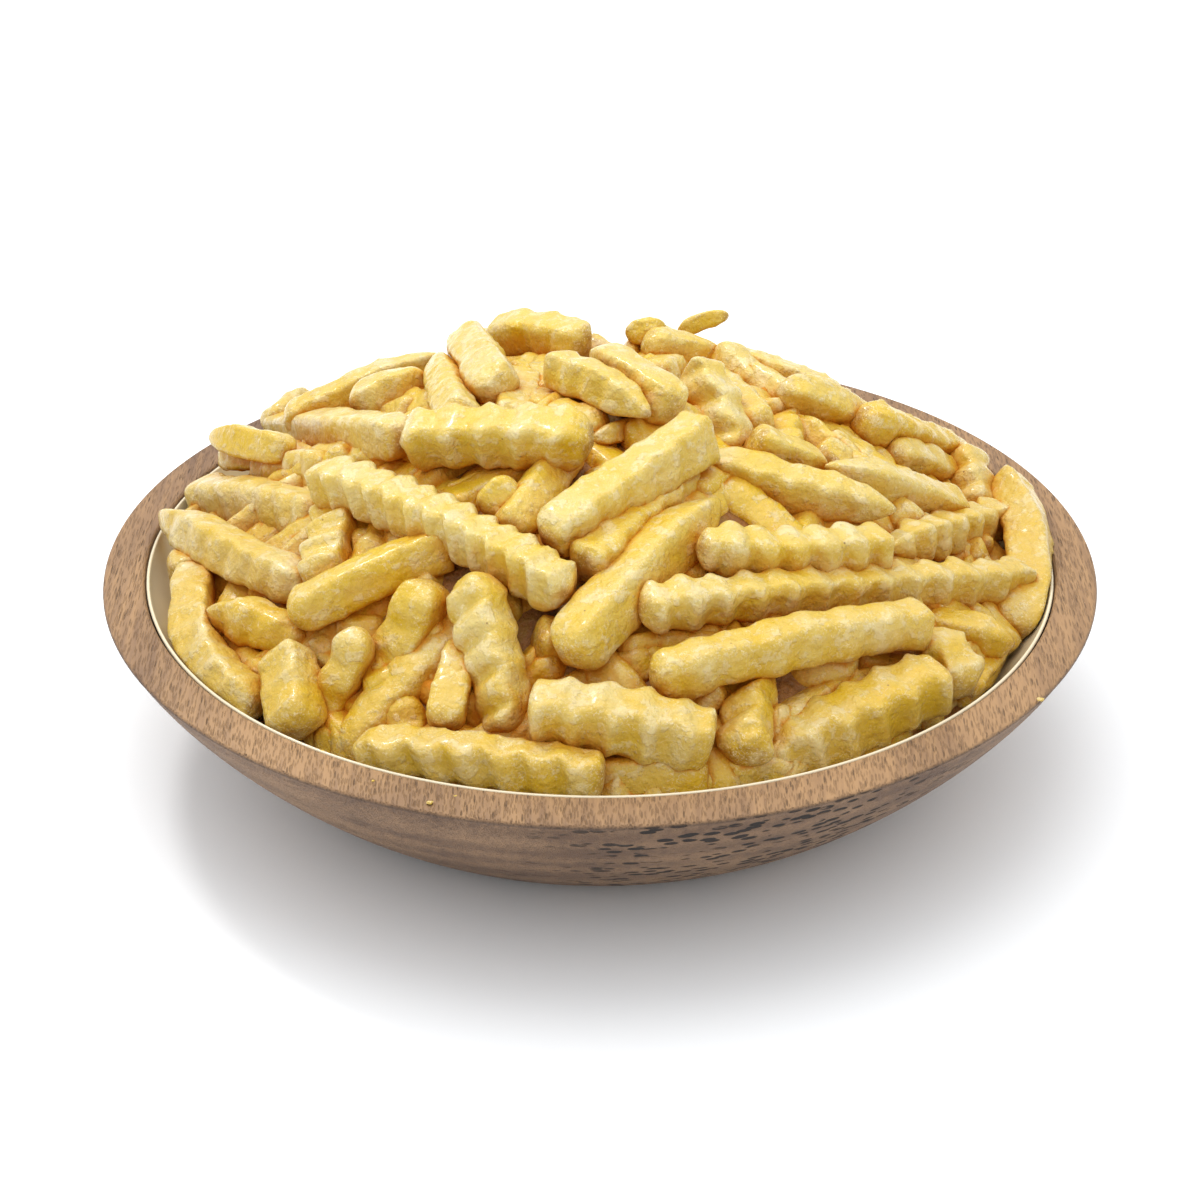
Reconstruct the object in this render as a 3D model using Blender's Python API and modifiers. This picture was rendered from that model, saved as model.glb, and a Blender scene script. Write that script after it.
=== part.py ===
"""A bowl of crinkle-cut fries: a turned wooden bowl, its enamel lining and the heap of fries in it.

Sizes are in millimetres until a mesh is made. The model is in metres, +Z up, with its origin on the
ground under the middle of the bowl's foot. The front of the bowl faces -Y.
"""

import math
import random
from collections import namedtuple

import bmesh
import bpy
import numpy as np
from mathutils import Vector
from mathutils.bvhtree import BVHTree

MM = 0.001

# The bowl
RIM_RADIUS = 125.0
RIM_HEIGHT = 49.0
RIM_CROWN = 1.0
RIM_BEVEL = 0.9
MOUTH_RADIUS = 114.6
FOOT_RADIUS = 74.0
FLANK_POWER = 1.24
FLOOR_HEIGHT = 10.0
FLOOR_RADIUS = 40.0
HOLLOW_POWER = 1.6
FLANK_RINGS = 7
HOLLOW_RINGS = 6
RING_CROWDING = 1.7
TURNED_STEPS = 48

# The enamel lining, which the wood backs all over
CLEARANCE = 0.3
LINING_THICKNESS = 0.9
LINING_DROP = 0.4

# The heap of fries: its outer skin is an even dome that stands on the rim
DOME_HEIGHT = 54.0
DOME_RADIUS = 113.0
CORE_DEPTH = 18.0
CORE_GAP = 1.4
CORE_RIM = 39.0
CORE_RINGS = 6
SKIN_TO_MIDDLE = 6.0

# The cut of a fry: its thickness as a share of its width, its ripples and how far it follows the heap
FRY_THICKNESS = 0.9
FOLLOW = 0.5
RIPPLE_PITCH = 9.0
RIPPLE_DEPTH = 1.25
EDGE_RIPPLE = 0.45
STATION_LENGTH = 18.0

# The sight plane stands through the bowl's middle, square to the line of sight from the front
SIGHT_ANGLE = math.radians(28.9)
SIGHT_DISTANCE = 768.0
SIGHT_HEIGHT = 36.2

# The fries that are laid to a rule, out of sight behind and below
SEED = 11
SPREAD_RADIUS = 105.0
ENDS_RADIUS = 104.0
SHORTEST = 42.0
LONGEST = 74.0
BACK_COUNT = 84
BACK_FROM = 40.0
UNDER_COUNT = 52
UNDER_DEPTH = 9.0

# Kinds of cut and of ends
CRINKLED = 1.0
RIBBED = 0.45
SMOOTH = 0.0
ROUND = 0.62
BLUNT = 0.88
POINTED = 0.28

Laid = namedtuple("Laid", "from_across from_up to_across to_up width bow roll cut start end")

# One line for each fry that shows from the front, those that lie lowest first: where its two ends are on
# the sight plane, how wide it looks, how far it bows to its left, its roll in degrees and how it is cut
LAID_FRIES = (
    # Half-hidden pieces of the lower layer
    Laid(-22, 44, -20, 57, 10, 0, 0, RIBBED, ROUND, ROUND),
    Laid(-35, -10, -40, -33, 9, 0, 10, SMOOTH, ROUND, ROUND),
    Laid(-17, -10, 6, -14, 14, 0, 35, SMOOTH, BLUNT, ROUND),
    Laid(-4, 8, 28, 34, 14, 0, 40, RIBBED, BLUNT, BLUNT),
    Laid(-24, 17, -7, 39, 10, 0, 10, SMOOTH, ROUND, ROUND),
    Laid(-30, 22, -22, 31, 8, 0, 0, SMOOTH, ROUND, ROUND),
    Laid(-2, 41, 12, 45, 5, 0, 0, SMOOTH, ROUND, ROUND),
    Laid(46, -18, 66, -17, 12, 1, 0, SMOOTH, ROUND, ROUND),
    Laid(31, -44, 54, -42, 10, 0, 0, SMOOTH, ROUND, ROUND),
    Laid(-4, -45, 28, -45, 12, 0, 20, SMOOTH, ROUND, ROUND),
    Laid(93, -24, 100, -12, 8, 0, 0, SMOOTH, ROUND, ROUND),
    Laid(20, -21, 31, -27, 9, 0, 0, SMOOTH, ROUND, ROUND),
    # The left wall and the rim at the left
    Laid(-115, 5, -99, 8, 13, 0, 20, SMOOTH, BLUNT, ROUND),
    Laid(-112, 24, -86, 35, 7, 0, 0, SMOOTH, POINTED, ROUND),
    Laid(-87, 32, -68, 33, 10, 0, 0, RIBBED, ROUND, ROUND),
    Laid(-97, 36, -84, 37, 6, 0, 0, SMOOTH, ROUND, ROUND),
    Laid(-100, 42, -79, 38, 8, 0, 0, SMOOTH, POINTED, ROUND),
    Laid(-85, 43, -73, 51, 11, 0, 0, SMOOTH, ROUND, ROUND),
    Laid(-82, 43, -50, 41, 13, 1, 20, SMOOTH, ROUND, ROUND),
    Laid(-113, 22, -74, 3, 13, -1, 25, RIBBED, POINTED, ROUND),
    Laid(-102, 26, -70, 20, 14, 1, 20, RIBBED, ROUND, ROUND),
    Laid(-102, 11, -88, -28, 12, -8, 20, RIBBED, ROUND, ROUND),
    # The left of the front face
    Laid(-65, 28, -71, 3, 14, 0, 40, CRINKLED, ROUND, ROUND),
    Laid(-44, 5, -74, -40, 15, 4, 30, RIBBED, ROUND, POINTED),
    Laid(-61, -7, -71, -31, 11, 0, 20, RIBBED, ROUND, ROUND),
    Laid(-101, -3, -74, -12, 12, 1, 20, RIBBED, POINTED, ROUND),
    Laid(-81, -12, -79, -36, 15, 0, 40, RIBBED, ROUND, BLUNT),
    Laid(-79, -5, -38, 14, 12, 1, 15, SMOOTH, ROUND, BLUNT),
    Laid(-34, 6, -23, -35, 15, 1, 40, CRINKLED, ROUND, ROUND),
    # The crown
    Laid(-80, 44, -40, 63, 11, 1, 20, RIBBED, ROUND, POINTED),
    Laid(-64, 50, -43, 56, 11, 0, 10, RIBBED, ROUND, ROUND),
    Laid(-42, 62, -36, 46, 12, 0, 30, SMOOTH, POINTED, ROUND),
    Laid(-26, 67, -4, 65, 13, 2, 30, RIBBED, BLUNT, BLUNT),
    Laid(-34, 67, -26, 54, 12, 0, 10, SMOOTH, ROUND, ROUND),
    Laid(7, 68, 17, 70, 6, 1, 0, SMOOTH, ROUND, ROUND),
    Laid(-1, 63, 19, 49, 13, 1, 30, SMOOTH, ROUND, ROUND),
    Laid(11, 66, 30, 61, 11, 0, 10, SMOOTH, ROUND, ROUND),
    Laid(20, 68, 33, 73, 4, 1, 0, SMOOTH, ROUND, ROUND),
    Laid(-13, 60, 13, 47, 11, 1, 20, RIBBED, ROUND, POINTED),
    Laid(24, 60, 35, 36, 13, 1, 30, CRINKLED, ROUND, ROUND),
    # The back right
    Laid(30, 62, 62, 51, 9, 1, 10, SMOOTH, ROUND, ROUND),
    Laid(37, 58, 50, 49, 9, 0, 0, SMOOTH, ROUND, ROUND),
    Laid(46, 54, 74, 40, 13, 1, 35, SMOOTH, ROUND, BLUNT),
    Laid(67, 46, 93, 35, 12, 1, 20, RIBBED, ROUND, ROUND),
    Laid(74, 37, 91, 30, 12, 1, 30, RIBBED, ROUND, ROUND),
    Laid(92, 39, 96, 21, 12, 1, 30, CRINKLED, ROUND, ROUND),
    Laid(30, 64, 79, 30, 12, -4, 20, RIBBED, ROUND, POINTED),
    Laid(38, 40, 57, 33, 12, 0, 20, RIBBED, BLUNT, ROUND),
    Laid(58, 35, 93, 23, 12, 0, 20, SMOOTH, POINTED, ROUND),
    Laid(19, 38, 76, 23, 13, -1, 35, RIBBED, POINTED, POINTED),
    # The right wall
    Laid(103, 31, 108, -11, 12, 6, 10, SMOOTH, ROUND, ROUND),
    Laid(82, -7, 111, -15, 13, 0, 30, SMOOTH, ROUND, POINTED),
    Laid(73, 13, 105, 22, 12, 0, 30, CRINKLED, POINTED, ROUND),
    Laid(82, -9, 96, -25, 15, 0, 40, CRINKLED, ROUND, ROUND),
    # The middle of the front face
    Laid(-73, 31, -8, 1, 14, 3, 40, CRINKLED, ROUND, ROUND),
    Laid(-40, 28, -28, 34, 4, -1, 0, SMOOTH, ROUND, POINTED),
    Laid(-50, 40, -2, 40, 16, 2, 40, CRINKLED, ROUND, ROUND),
    Laid(-14, 15, 27, 43, 15, 0, 40, RIBBED, ROUND, BLUNT),
    Laid(-9, -15, 31, 26, 16, 1, 35, SMOOTH, ROUND, POINTED),
    Laid(25, 14, 74, 14, 13, -2, 35, CRINKLED, ROUND, BLUNT),
    Laid(10, -2, 110, 5, 12, 1, 35, CRINKLED, ROUND, ROUND),
    # The front
    Laid(-63, -38, 1, -46, 13, 1, 35, CRINKLED, ROUND, BLUNT),
    Laid(37, -44, 87, -20, 17, 0, 45, CRINKLED, POINTED, BLUNT),
    Laid(39, -16, 37, -40, 13, 0, 30, CRINKLED, BLUNT, BLUNT),
    Laid(13, -21, 83, -6, 14, 2, 35, RIBBED, ROUND, BLUNT),
    Laid(-18, -29, 29, -36, 17, 1, 40, CRINKLED, BLUNT, BLUNT),
)

# How the fries settle: places along each, how near they lie, and how far one may sink and tilt
SHARES = np.linspace(0.05, 0.95, 9)
REACH = 0.46
WIDEST = 14.0
PACKING = 0.80
DEEPEST = -20.0
DEEP = 30.0
HIDING = 0.55
STEEPEST = 24.0
FACING = 0.35
SINK_STEP = 0.8
SINK_STEPS = 40


def superellipse(depth, power):
    """Share of the reach that is left at a depth from 0, the top, to 1, the bottom."""
    return (1.0 - min(max(depth, 0.0), 1.0) ** power) ** (1.0 / power)


def flank_radius(height):
    """Radius of the bowl's outside at a height above the ground."""
    return FOOT_RADIUS + (RIM_RADIUS - FOOT_RADIUS) * superellipse(1.0 - height / RIM_HEIGHT, FLANK_POWER)


def hollow_radius(height, inset=0.0):
    """Radius of the wooden hollow at a height, drawn in by an inset for what lines or fills it."""
    top = RIM_HEIGHT + RIM_CROWN
    floor = FLOOR_HEIGHT + inset
    depth = (top - height) / (top - floor)
    return FLOOR_RADIUS + (MOUTH_RADIUS - inset - FLOOR_RADIUS) * superellipse(depth, HOLLOW_POWER)


def spaced(first, last, count):
    """Evenly spaced values, the last one included."""
    return [first + (last - first) * step / count for step in range(count + 1)]


def hollow_heights(inset, top, rings):
    """Heights from the floor up to the top, closer together near the floor where the wall turns."""
    floor = FLOOR_HEIGHT + inset
    return [floor + (top - floor) * share**RING_CROWDING for share in spaced(0.0, 1.0, rings)]


def bowl_profile():
    """Half section of the wood: up the hollow, over the rim and down the flank to the foot."""
    crown = RIM_HEIGHT + RIM_CROWN
    profile = [(0.0, FLOOR_HEIGHT)]
    profile += [(hollow_radius(height), height) for height in hollow_heights(0.0, crown - RIM_BEVEL, HOLLOW_RINGS)]
    profile.append((MOUTH_RADIUS + RIM_BEVEL, crown))
    profile.append((RIM_RADIUS - RIM_BEVEL, RIM_HEIGHT))
    profile += [(flank_radius(height), height) for height in spaced(RIM_HEIGHT - RIM_BEVEL, 0.0, FLANK_RINGS)]
    profile.append((0.0, 0.0))
    return profile


def lining_profile():
    """Half section of the enamel: up its inner face, across its edge and down against the wood."""
    top = RIM_HEIGHT + RIM_CROWN - LINING_DROP
    inner = CLEARANCE + LINING_THICKNESS
    inside = [(hollow_radius(height, inner), height) for height in hollow_heights(inner, top, HOLLOW_RINGS)]
    outside = [(hollow_radius(height, CLEARANCE), height) for height in hollow_heights(CLEARANCE, top, HOLLOW_RINGS)]
    return [(0.0, inside[0][1])] + inside + outside[::-1] + [(0.0, outside[0][1])]


def core_profile():
    """Half section of the heap's core: a dome set below the heap's skin, then the hollow with a gap."""
    inset = CLEARANCE + LINING_THICKNESS + CORE_GAP
    edge = DOME_RADIUS - CORE_DEPTH
    dome = [(radius, float(dome_height(radius, 0.0)) - CORE_DEPTH) for radius in spaced(0.0, edge, CORE_RINGS)]
    wall = [
        (hollow_radius(height, inset), height)
        for height in reversed(hollow_heights(inset, CORE_RIM, CORE_RINGS))
    ]
    return dome + wall + [(0.0, wall[-1][1])]


def dome_height(x, y):
    """Height of the heap's even outer skin over a place."""
    return RIM_HEIGHT + RIM_CROWN + DOME_HEIGHT * (1.0 - (x * x + y * y) / DOME_RADIUS**2)


def dome_normal(x, y):
    """Direction straight out of the heap's skin over a place."""
    slope = 2.0 * DOME_HEIGHT / DOME_RADIUS**2
    normal = np.array([slope * x, slope * y, 1.0])
    return normal / np.linalg.norm(normal)


EYE = np.array([0.0, -SIGHT_DISTANCE * math.cos(SIGHT_ANGLE), SIGHT_HEIGHT + SIGHT_DISTANCE * math.sin(SIGHT_ANGLE)])
SIGHT_RIGHT = np.array([1.0, 0.0, 0.0])
SIGHT_UP = np.array([0.0, math.sin(SIGHT_ANGLE), math.cos(SIGHT_ANGLE)])


def on_the_heap(across, up):
    """Where the line of sight through a place on the sight plane meets the layer of the fries' middles."""
    through = np.array([0.0, 0.0, SIGHT_HEIGHT]) + across * SIGHT_RIGHT + up * SIGHT_UP
    reach = np.linspace(0.80, 1.20, 401)[:, None]
    points = EYE + reach * (through - EYE)
    above = points[:, 2] - dome_height(points[:, 0], points[:, 1]) + SKIN_TO_MIDDLE
    inside = np.nonzero(above <= 0.0)[0]
    return points[inside[0] if len(inside) else np.argmin(above)]


class Heap:
    """Every fry's ends, outward direction, bow, size and cut, in the order in which they lie."""

    def __init__(self):
        self.ends = []
        self.out = []
        self.bow = []
        self.width = []
        self.roll = []
        self.cut = []
        self.tips = []

    def add(self, start, end, out, bow, width, roll, cut, tips):
        self.ends.append((start, end))
        self.out.append(out)
        self.bow.append(bow)
        self.width.append(width)
        self.roll.append(roll)
        self.cut.append(cut)
        self.tips.append(tips)

    def close(self):
        self.ends = np.array(self.ends)
        self.out = np.array(self.out)
        self.bow = np.array(self.bow)
        self.width = np.array(self.width)

    def middle_lines(self, shares):
        """Points along every fry's middle line, at shares of its length."""
        chord = self.ends[:, 1] - self.ends[:, 0]
        length = np.linalg.norm(chord, axis=1)
        side = np.cross(self.out, chord)
        side /= np.linalg.norm(side, axis=1)[:, None]
        crown = FOLLOW * length**2 / (8.0 * DOME_RADIUS)
        lift = side * self.bow[:, None] + self.out * crown[:, None]
        t = shares[None, :, None]
        return self.ends[:, 0][:, None] * (1.0 - t) + self.ends[:, 1][:, None] * t + lift[:, None] * (4.0 * t * (1.0 - t))


def scattered(count, first_turn):
    """Places spread evenly over the dome on a sunflower spiral."""
    for index in range(count):
        radius = SPREAD_RADIUS * math.sqrt((index + 0.5) / count)
        turn = first_turn + index * math.pi * (3.0 - math.sqrt(5.0))
        yield radius * math.cos(turn), radius * math.sin(turn)


def lay_by_rule(heap, draw, x, y, depth, cuts):
    """Lay one fry over a place, turned at random, its ends kept inside the bowl's mouth."""
    length = draw.uniform(SHORTEST, LONGEST)
    turn = draw.uniform(0.0, math.pi)
    out = dome_normal(x, y)
    ends = []
    for half in (-0.5, 0.5):
        end_x = x + half * length * math.cos(turn)
        end_y = y + half * length * math.sin(turn)
        over = math.hypot(end_x, end_y) / ENDS_RADIUS
        if over > 1.0:
            end_x, end_y = end_x / over, end_y / over
        ends.append(np.array([end_x, end_y, dome_height(end_x, end_y) - SKIN_TO_MIDDLE - depth]))
    cut = draw.choice(cuts)
    tips = (draw.choice((ROUND, BLUNT)), draw.choice((ROUND, BLUNT, POINTED)))
    heap.add(*ends, out, draw.uniform(-3.0, 3.0), draw.uniform(11.0, 15.0), draw.uniform(0.0, 50.0), cut, tips)


def gather_heap():
    """All the fries: an under layer, the back of the heap, then those laid out as seen from the front."""
    draw = random.Random(SEED)
    heap = Heap()
    for x, y in scattered(UNDER_COUNT, 0.4):
        if y < BACK_FROM:
            lay_by_rule(heap, draw, x, y, UNDER_DEPTH, (SMOOTH,))
    for x, y in scattered(BACK_COUNT, 1.1):
        if y > BACK_FROM:
            lay_by_rule(heap, draw, x, y, 0.0, (CRINKLED, CRINKLED, RIBBED, SMOOTH))
    for fry in LAID_FRIES:
        start = on_the_heap(fry.from_across, fry.from_up)
        end = on_the_heap(fry.to_across, fry.to_up)
        out = EYE - (start + end) / 2.0
        heap.add(start, end, out / np.linalg.norm(out), fry.bow, fry.width, fry.roll, fry.cut, (fry.start, fry.end))
    heap.close()
    return heap


def room_in_bowl(points):
    """Distance of points from the bowl, measured into the free space, and the way that leads out of it."""
    top = RIM_HEIGHT + RIM_CROWN
    inset = CLEARANCE + LINING_THICKNESS
    radius = np.hypot(points[:, 0], points[:, 1])
    heights = np.array(hollow_heights(inset, top, 40))
    wall = np.array([hollow_radius(height, inset) for height in heights])
    height = np.clip(points[:, 2], heights[0], top)
    limit = np.interp(height, heights, wall)
    lean = (np.interp(height + 0.5, heights, wall) - np.interp(height - 0.5, heights, wall)).clip(0.0, 4.0)
    inward = -points[:, :2] / radius.clip(1.0)[:, None]
    steep = 1.0 / np.sqrt(1.0 + lean**2)
    way = np.column_stack([inward * steep[:, None], lean * steep])
    room = (limit - radius) * steep
    beside = wall[-1] - radius
    above = points[:, 2] - top
    over_rim = above > 0.0
    clear_of_edge = np.where(beside > 0.0, np.hypot(beside, above), above)
    room = np.where(over_rim, clear_of_edge, room)
    way[over_rim & (beside <= 0.0)] = (0.0, 0.0, 1.0)
    return room, way


def line_below(shares, limits):
    """Heights at the two ends of the straight line that lies highest at its middle under all the limits."""
    best = -math.inf
    heights = (0.0, 0.0)
    for first in range(len(shares)):
        apart = shares - shares[first]
        slopes = [-STEEPEST, 0.0, STEEPEST]
        slopes += [(limits[other] - limits[first]) / apart[other] for other in range(len(shares)) if other != first]
        for slope in slopes:
            middle = limits[first] + slope * (0.5 - shares[first])
            fits = abs(slope) <= STEEPEST and (limits[first] + slope * apart <= limits + 0.01).all()
            if fits and middle > best:
                best = middle
                heights = (middle - slope / 2.0, middle + slope / 2.0)
    return heights


def settle(heap):
    """Let the topmost fries keep to the heap's skin, and push each lower one in until it clears them."""
    half = heap.width.clip(0.0, WIDEST) * REACH
    count = len(half)
    lines = heap.middle_lines(SHARES)
    for index in reversed(range(count)):
        keep_in_bowl(heap, index)
        own = heap.middle_lines(SHARES)[index]
        limits = np.zeros(len(SHARES))
        if index + 1 < count:
            above = lines[index + 1 :].reshape(-1, 3)
            need = PACKING * (half[index] + np.repeat(half[index + 1 :], len(SHARES)))
            apart = above[None] - own[:, None]
            along = apart.dot(heap.out[index])
            distance = (apart * apart).sum(axis=2)
            beside = distance - along**2
            room = along - np.sqrt(np.maximum(need**2 - beside, 0.0))
            crossing = (distance < need**2) | ((beside < (HIDING * need) ** 2) & (np.abs(along) < DEEP))
            room = np.where(crossing, room, 0.0)
            limits = np.minimum(limits, room.min(axis=1))
        limits = limits.clip(DEEPEST)
        moves = line_below(SHARES, limits)
        heap.ends[index] += np.array(moves)[:, None] * heap.out[index]
        keep_in_bowl(heap, index)
        lines[index] = heap.middle_lines(SHARES)[index]


def drop(heap):
    """Move each fry that hangs free straight in, lowest first, until it rests on a fry below or the core."""
    half = heap.width.clip(0.0, WIDEST) * REACH
    for index in range(len(half)):
        lines = heap.middle_lines(SHARES)
        own = lines[index]
        out = heap.out[index]
        middle = own[len(SHARES) // 2]
        to_core = own[:, 2] - dome_height(own[:, 0], own[:, 1]) + CORE_DEPTH
        facing = max(FACING, dome_normal(middle[0], middle[1]).dot(out))
        fall = (to_core.min() - PACKING * half[index]) / facing
        if index:
            below = lines[:index].reshape(-1, 3)
            need = PACKING * (half[index] + np.repeat(half[:index], len(SHARES)))
            apart = own[:, None] - below[None]
            along = apart.dot(out)
            beside = (apart * apart).sum(axis=2) - along**2
            gap = along - np.sqrt(np.maximum(need**2 - beside, 0.0))
            fall = min(fall, np.where((beside < need**2) & (along > 0.0), gap, fall).min())
        heap.ends[index] -= max(fall, 0.0) * out
        keep_in_bowl(heap, index)


def keep_in_bowl(heap, index):
    """Move a fry that would cross the bowl, along its outward direction where that leads out."""
    for _ in range(3):
        line = heap.middle_lines(SHARES)[index]
        room, way = room_in_bowl(line)
        short = (heap.width[index] * REACH + CORE_GAP - room).clip(0.0)
        facing = way.dot(heap.out[index])
        direct = facing > FACING
        step = np.where(direct[:, None], heap.out[index] / np.where(direct, facing, 1.0)[:, None], way)
        step *= short[:, None]
        for end, weight in ((0, 1.0 - SHARES), (1, SHARES)):
            pull = step * weight[:, None]
            heap.ends[index, end] += pull[np.linalg.norm(pull, axis=1).argmax()]


def fry_section(heap, index, share, end_scale):
    """Centre, half widths and axes of one fry's section at a share of its length."""
    shares = np.array([share - 0.02, share, share + 0.02])
    behind, here, ahead = heap.middle_lines(shares)[index]
    tangent = (ahead - behind) / np.linalg.norm(ahead - behind)
    out = heap.out[index] - tangent * heap.out[index].dot(tangent)
    out /= np.linalg.norm(out)
    side = np.cross(out, tangent)
    roll = math.radians(heap.roll[index])
    across = side * math.cos(roll) + out * math.sin(roll)
    upward = out * math.cos(roll) - side * math.sin(roll)
    size = heap.width[index] / (math.cos(roll) + FRY_THICKNESS * math.sin(roll)) / 2.0
    return here, across * size * end_scale, upward * size * FRY_THICKNESS * end_scale


def fry_mesh(heap, index):
    """One fry with four sides, its ridges and furrows as alternate stations."""
    length = float(np.linalg.norm(heap.ends[index, 1] - heap.ends[index, 0]))
    cut = heap.cut[index]
    pitch = RIPPLE_PITCH / 2.0 if cut > SMOOTH else STATION_LENGTH
    stations = max(3, round(length / pitch))
    mesh = bmesh.new()
    bmesh.ops.create_cube(mesh, size=2.0)
    long_edges = [edge for edge in mesh.edges if abs(edge.verts[0].co.x - edge.verts[1].co.x) > 1.0]
    bmesh.ops.subdivide_edges(mesh, edges=long_edges, cuts=stations - 1, use_grid_fill=True)
    start_tip, end_tip = heap.tips[index]
    for vertex in mesh.verts:
        share = (vertex.co.x + 1.0) / 2.0
        station = round(share * stations)
        ripple = cut * (1.0 if station % 2 else -1.0)
        end_scale = start_tip if station == 0 else end_tip if station == stations else 1.0
        here, across, upward = fry_section(heap, index, share, end_scale)
        deep = 1.0 + ripple * RIPPLE_DEPTH * 0.5 / max(np.linalg.norm(upward), 1.0)
        wide = 1.0 + ripple * EDGE_RIPPLE * 0.5 / max(np.linalg.norm(across), 1.0)
        vertex.co = Vector(here + across * vertex.co.y * wide + upward * vertex.co.z * deep)
    return mesh


def sink(mesh, joined):
    """Lower a fry that hangs free until it runs into what already lies in the heap."""
    centre = sum((vertex.co for vertex in mesh.verts), Vector()) / len(mesh.verts)
    step = Vector(dome_normal(centre.x, centre.y)) * -SINK_STEP
    for _ in range(SINK_STEPS):
        body = BVHTree.FromBMesh(mesh)
        if any(body.overlap(other) for other in joined):
            break
        bmesh.ops.translate(mesh, vec=step, verts=mesh.verts)


def clear_the_bowl(mesh):
    """Draw in the corners of a fry that would still touch the lining or the rim."""
    mesh.verts.ensure_lookup_table()
    for _ in range(3):
        points = np.array([vertex.co[:] for vertex in mesh.verts])
        room, way = room_in_bowl(points)
        step = way * (CORE_GAP - room).clip(0.0)[:, None]
        for vertex, move in zip(mesh.verts, step):
            vertex.co += Vector(move)


def material(name, colour, roughness):
    """A plain surface of one colour."""
    surface = bpy.data.materials.new(name)
    surface.use_nodes = True
    shader = surface.node_tree.nodes["Principled BSDF"]
    shader.inputs["Base Color"].default_value = (*colour, 1.0)
    shader.inputs["Roughness"].default_value = roughness
    shader.inputs["Metallic"].default_value = 0.0
    return surface


def turned(name, profile, surface, collection):
    """A turned piece: a half section carried round the bowl's axis."""
    mesh = bpy.data.meshes.new(name)
    points = [(radius * MM, 0.0, height * MM) for radius, height in profile]
    mesh.from_pydata(points, [(step, step + 1) for step in range(len(points) - 1)], [])
    piece = bpy.data.objects.new(name, mesh)
    collection.objects.link(piece)
    screw = piece.modifiers.new("Turn", "SCREW")
    screw.steps = screw.render_steps = TURNED_STEPS
    screw.use_merge_vertices = True
    screw.merge_threshold = 0.00001
    mesh.materials.append(surface)
    return piece


def applied(piece):
    """Put a piece's evaluated mesh in place of its modifiers."""
    bpy.context.view_layer.update()
    evaluated = piece.evaluated_get(bpy.context.evaluated_depsgraph_get())
    mesh = bpy.data.meshes.new_from_object(evaluated)
    piece.modifiers.clear()
    piece.data = mesh


def loose_bodies(mesh):
    """The vertices of each connected body of a mesh."""
    left = set(mesh.verts)
    while left:
        body = {left.pop()}
        edge_of_body = list(body)
        while edge_of_body:
            vertex = edge_of_body.pop()
            for edge in vertex.link_edges:
                other = edge.other_vert(vertex)
                if other in left:
                    left.discard(other)
                    body.add(other)
                    edge_of_body.append(other)
        yield body


def keep_largest_body(piece):
    """Fill sealed hollows and drop loose scraps, which leaves the one outer body."""
    mesh = bmesh.new()
    mesh.from_mesh(piece.data)
    bodies = sorted(loose_bodies(mesh), key=len)
    for body in bodies[:-1]:
        bmesh.ops.delete(mesh, geom=list(body), context="VERTS")
    mesh.to_mesh(piece.data)
    mesh.free()


def build_heap(surface, collection):
    """The heap as one body: a smooth core with every fry of the two layers joined on."""
    heap = gather_heap()
    settle(heap)
    drop(heap)
    piece = turned("fries_heap", core_profile(), surface, collection)
    applied(piece)
    core = bmesh.new()
    core.from_mesh(piece.data)
    bmesh.ops.scale(core, vec=(1.0 / MM, 1.0 / MM, 1.0 / MM), verts=core.verts)
    joined = [BVHTree.FromBMesh(core)]
    core.free()
    fries = bpy.data.collections.new("fries to join")
    bpy.context.scene.collection.children.link(fries)
    for index in range(len(heap.width)):
        mesh = fry_mesh(heap, index)
        sink(mesh, joined)
        clear_the_bowl(mesh)
        joined.append(BVHTree.FromBMesh(mesh))
        bmesh.ops.scale(mesh, vec=(MM, MM, MM), verts=mesh.verts)
        data = bpy.data.meshes.new(f"fry {index}")
        mesh.to_mesh(data)
        mesh.free()
        fries.objects.link(bpy.data.objects.new(f"fry {index}", data))
    join = piece.modifiers.new("Join", "BOOLEAN")
    join.operation = "UNION"
    join.operand_type = "COLLECTION"
    join.collection = fries
    join.solver = "MANIFOLD"
    applied(piece)
    for fry in list(fries.objects):
        bpy.data.objects.remove(fry)
    bpy.data.collections.remove(fries)
    keep_largest_body(piece)
    return piece


def main():
    for old in list(bpy.data.objects):
        bpy.data.objects.remove(old)
    collection = bpy.data.collections.new("Bowl of crinkle-cut fries")
    bpy.context.scene.collection.children.link(collection)
    turned("bowl", bowl_profile(), material("Turned wood", (0.36, 0.23, 0.14), 0.55), collection)
    turned("lining", lining_profile(), material("Cream enamel", (0.80, 0.70, 0.50), 0.25), collection)
    build_heap(material("Fried potato", (0.78, 0.50, 0.12), 0.5), collection)
    for piece in collection.objects:
        if piece.name != "fries_heap":
            piece.data.shade_smooth()


main()
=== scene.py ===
"""Looks for a bowl of crinkle-cut fries: turned wood, cream enamel and the heap of real fries.

Sizes are in millimetres until a mesh is made. The front of the bowl faces -Y.
"""

import functools
import math
import random
from collections import namedtuple

import bmesh
import bpy
import numpy as np
from bpy.props import FloatProperty, FloatVectorProperty, IntProperty, PointerProperty
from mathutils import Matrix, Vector, noise
from mathutils.bvhtree import BVHTree


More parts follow.
